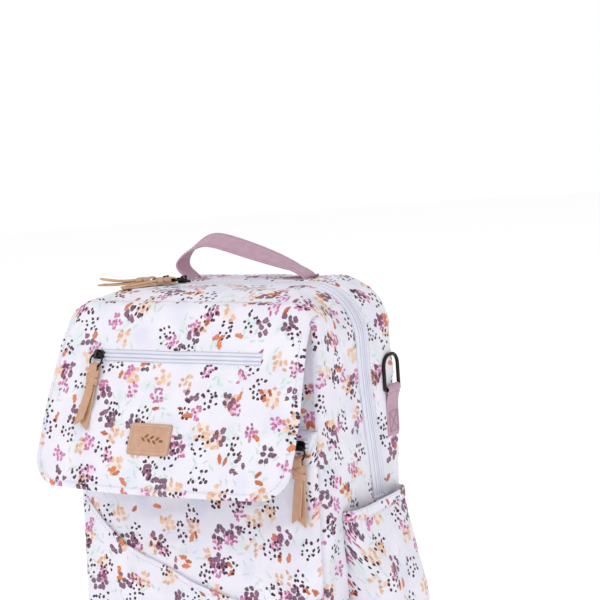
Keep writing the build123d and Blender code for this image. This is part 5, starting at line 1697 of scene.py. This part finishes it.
class BAG_PG_stage(bpy.types.PropertyGroup):
    """Light of the studio."""

    key: bpy.props.FloatProperty(name="Key", description="Power of the light at the front left, watts",
                                 default=27.5)
    fill: bpy.props.FloatProperty(name="Fill", description="Power of the light at the right, watts",
                                  default=15.0)
    top: bpy.props.FloatProperty(name="Top", description="Power of the light overhead, watts", default=12.0)
    surround: bpy.props.FloatProperty(name="Surroundings",
        description="Strength of the white surroundings", default=0.7)


class BAG_OT_finishes(bpy.types.Operator):
    """Make every material and finish the frame's own pieces."""

    bl_idname = "bag.finishes"
    bl_label = "Finishes"

    def execute(self, context):
        make_finishes(context.scene.bag_cloth)
        finish_frame()
        return {"FINISHED"}


class BAG_OT_body(bpy.types.Operator):
    """Build the gussets and the front and back panels."""

    bl_idname = "bag.body"
    bl_label = "Body cloth"

    def execute(self, context):
        build_body(context.scene.bag_cloth)
        return {"FINISHED"}


class BAG_OT_pockets(bpy.types.Operator):
    """Build the front, slip and side pockets."""

    bl_idname = "bag.pockets"
    bl_label = "Pockets"

    def execute(self, context):
        build_front_pocket(context.scene.bag_cloth)
        build_side_pockets(context.scene.bag_cloth)
        return {"FINISHED"}


class BAG_OT_flap(bpy.types.Operator):
    """Build the flap and its leather label."""

    bl_idname = "bag.flap"
    bl_label = "Flap and label"

    def execute(self, context):
        build_flap(context.scene.bag_cloth)
        build_label(context.scene.bag_cloth)
        return {"FINISHED"}


class BAG_OT_zips(bpy.types.Operator):
    """Build the zips' coated bands and end tabs."""

    bl_idname = "bag.zips"
    bl_label = "Zips"

    def execute(self, context):
        build_flap_zip(context.scene.bag_cloth)
        build_pocket_zip(context.scene.bag_cloth)
        build_main_zip()
        return {"FINISHED"}


class BAG_OT_pulls(bpy.types.Operator):
    """Build the leather pulls."""

    bl_idname = "bag.pulls"
    bl_label = "Leather pulls"

    def execute(self, context):
        build_pulls()
        return {"FINISHED"}


class BAG_OT_webbing(bpy.types.Operator):
    """Build the top handle and the side tabs."""

    bl_idname = "bag.webbing"
    bl_label = "Handle and tabs"

    def execute(self, context):
        build_handle()
        build_ring_tabs()
        return {"FINISHED"}


class BAG_OT_back(bpy.types.Operator):
    """Build the back pad, the yoke and the shoulder straps."""

    bl_idname = "bag.back"
    bl_label = "Back pad and straps"

    def execute(self, context):
        build_back_pad()
        build_yoke()
        build_straps(context.scene.bag_padding)
        return {"FINISHED"}


class BAG_OT_stage(bpy.types.Operator):
    """Build the floor, the lights and the camera."""

    bl_idname = "bag.stage"
    bl_label = "Stage"

    def execute(self, context):
        build_stage(context.scene.bag_stage)
        return {"FINISHED"}


class BAG_PT_panel(bpy.types.Panel):
    """Settings and steps of the diaper bag."""

    bl_idname = "BAG_PT_panel"
    bl_label = "Diaper bag"
    bl_space_type = "VIEW_3D"
    bl_region_type = "UI"
    bl_category = "Diaper bag"

    def draw(self, context):
        layout = self.layout
        for group in (context.scene.bag_cloth, context.scene.bag_padding, context.scene.bag_stage):
            box = layout.box()
            for name in group.bl_rna.properties.keys():
                if name not in ("rna_type", "name"):
                    box.prop(group, name)
        for step in STEPS:
            layout.operator(step.bl_idname)


STEPS = (
    BAG_OT_finishes,
    BAG_OT_body,
    BAG_OT_pockets,
    BAG_OT_flap,
    BAG_OT_zips,
    BAG_OT_pulls,
    BAG_OT_webbing,
    BAG_OT_back,
    BAG_OT_stage,
)
CLASSES = (BAG_PG_cloth, BAG_PG_padding, BAG_PG_stage, *STEPS, BAG_PT_panel)


def register():
    """Register the classes and hang the settings on the scene."""
    for made in CLASSES:
        bpy.utils.register_class(made)
    bpy.types.Scene.bag_cloth = bpy.props.PointerProperty(type=BAG_PG_cloth)
    bpy.types.Scene.bag_padding = bpy.props.PointerProperty(type=BAG_PG_padding)
    bpy.types.Scene.bag_stage = bpy.props.PointerProperty(type=BAG_PG_stage)


def unregister():
    """Take the settings off the scene and unregister the classes."""
    del bpy.types.Scene.bag_cloth
    del bpy.types.Scene.bag_padding
    del bpy.types.Scene.bag_stage
    for made in reversed(CLASSES):
        bpy.utils.unregister_class(made)


def main():
    """Build the whole bag."""
    register()
    bpy.ops.bag.finishes()
    bpy.ops.bag.body()
    bpy.ops.bag.pockets()
    bpy.ops.bag.flap()
    bpy.ops.bag.zips()
    bpy.ops.bag.pulls()
    bpy.ops.bag.webbing()
    bpy.ops.bag.back()
    bpy.ops.bag.stage()


if __name__ == "__main__":
    main()
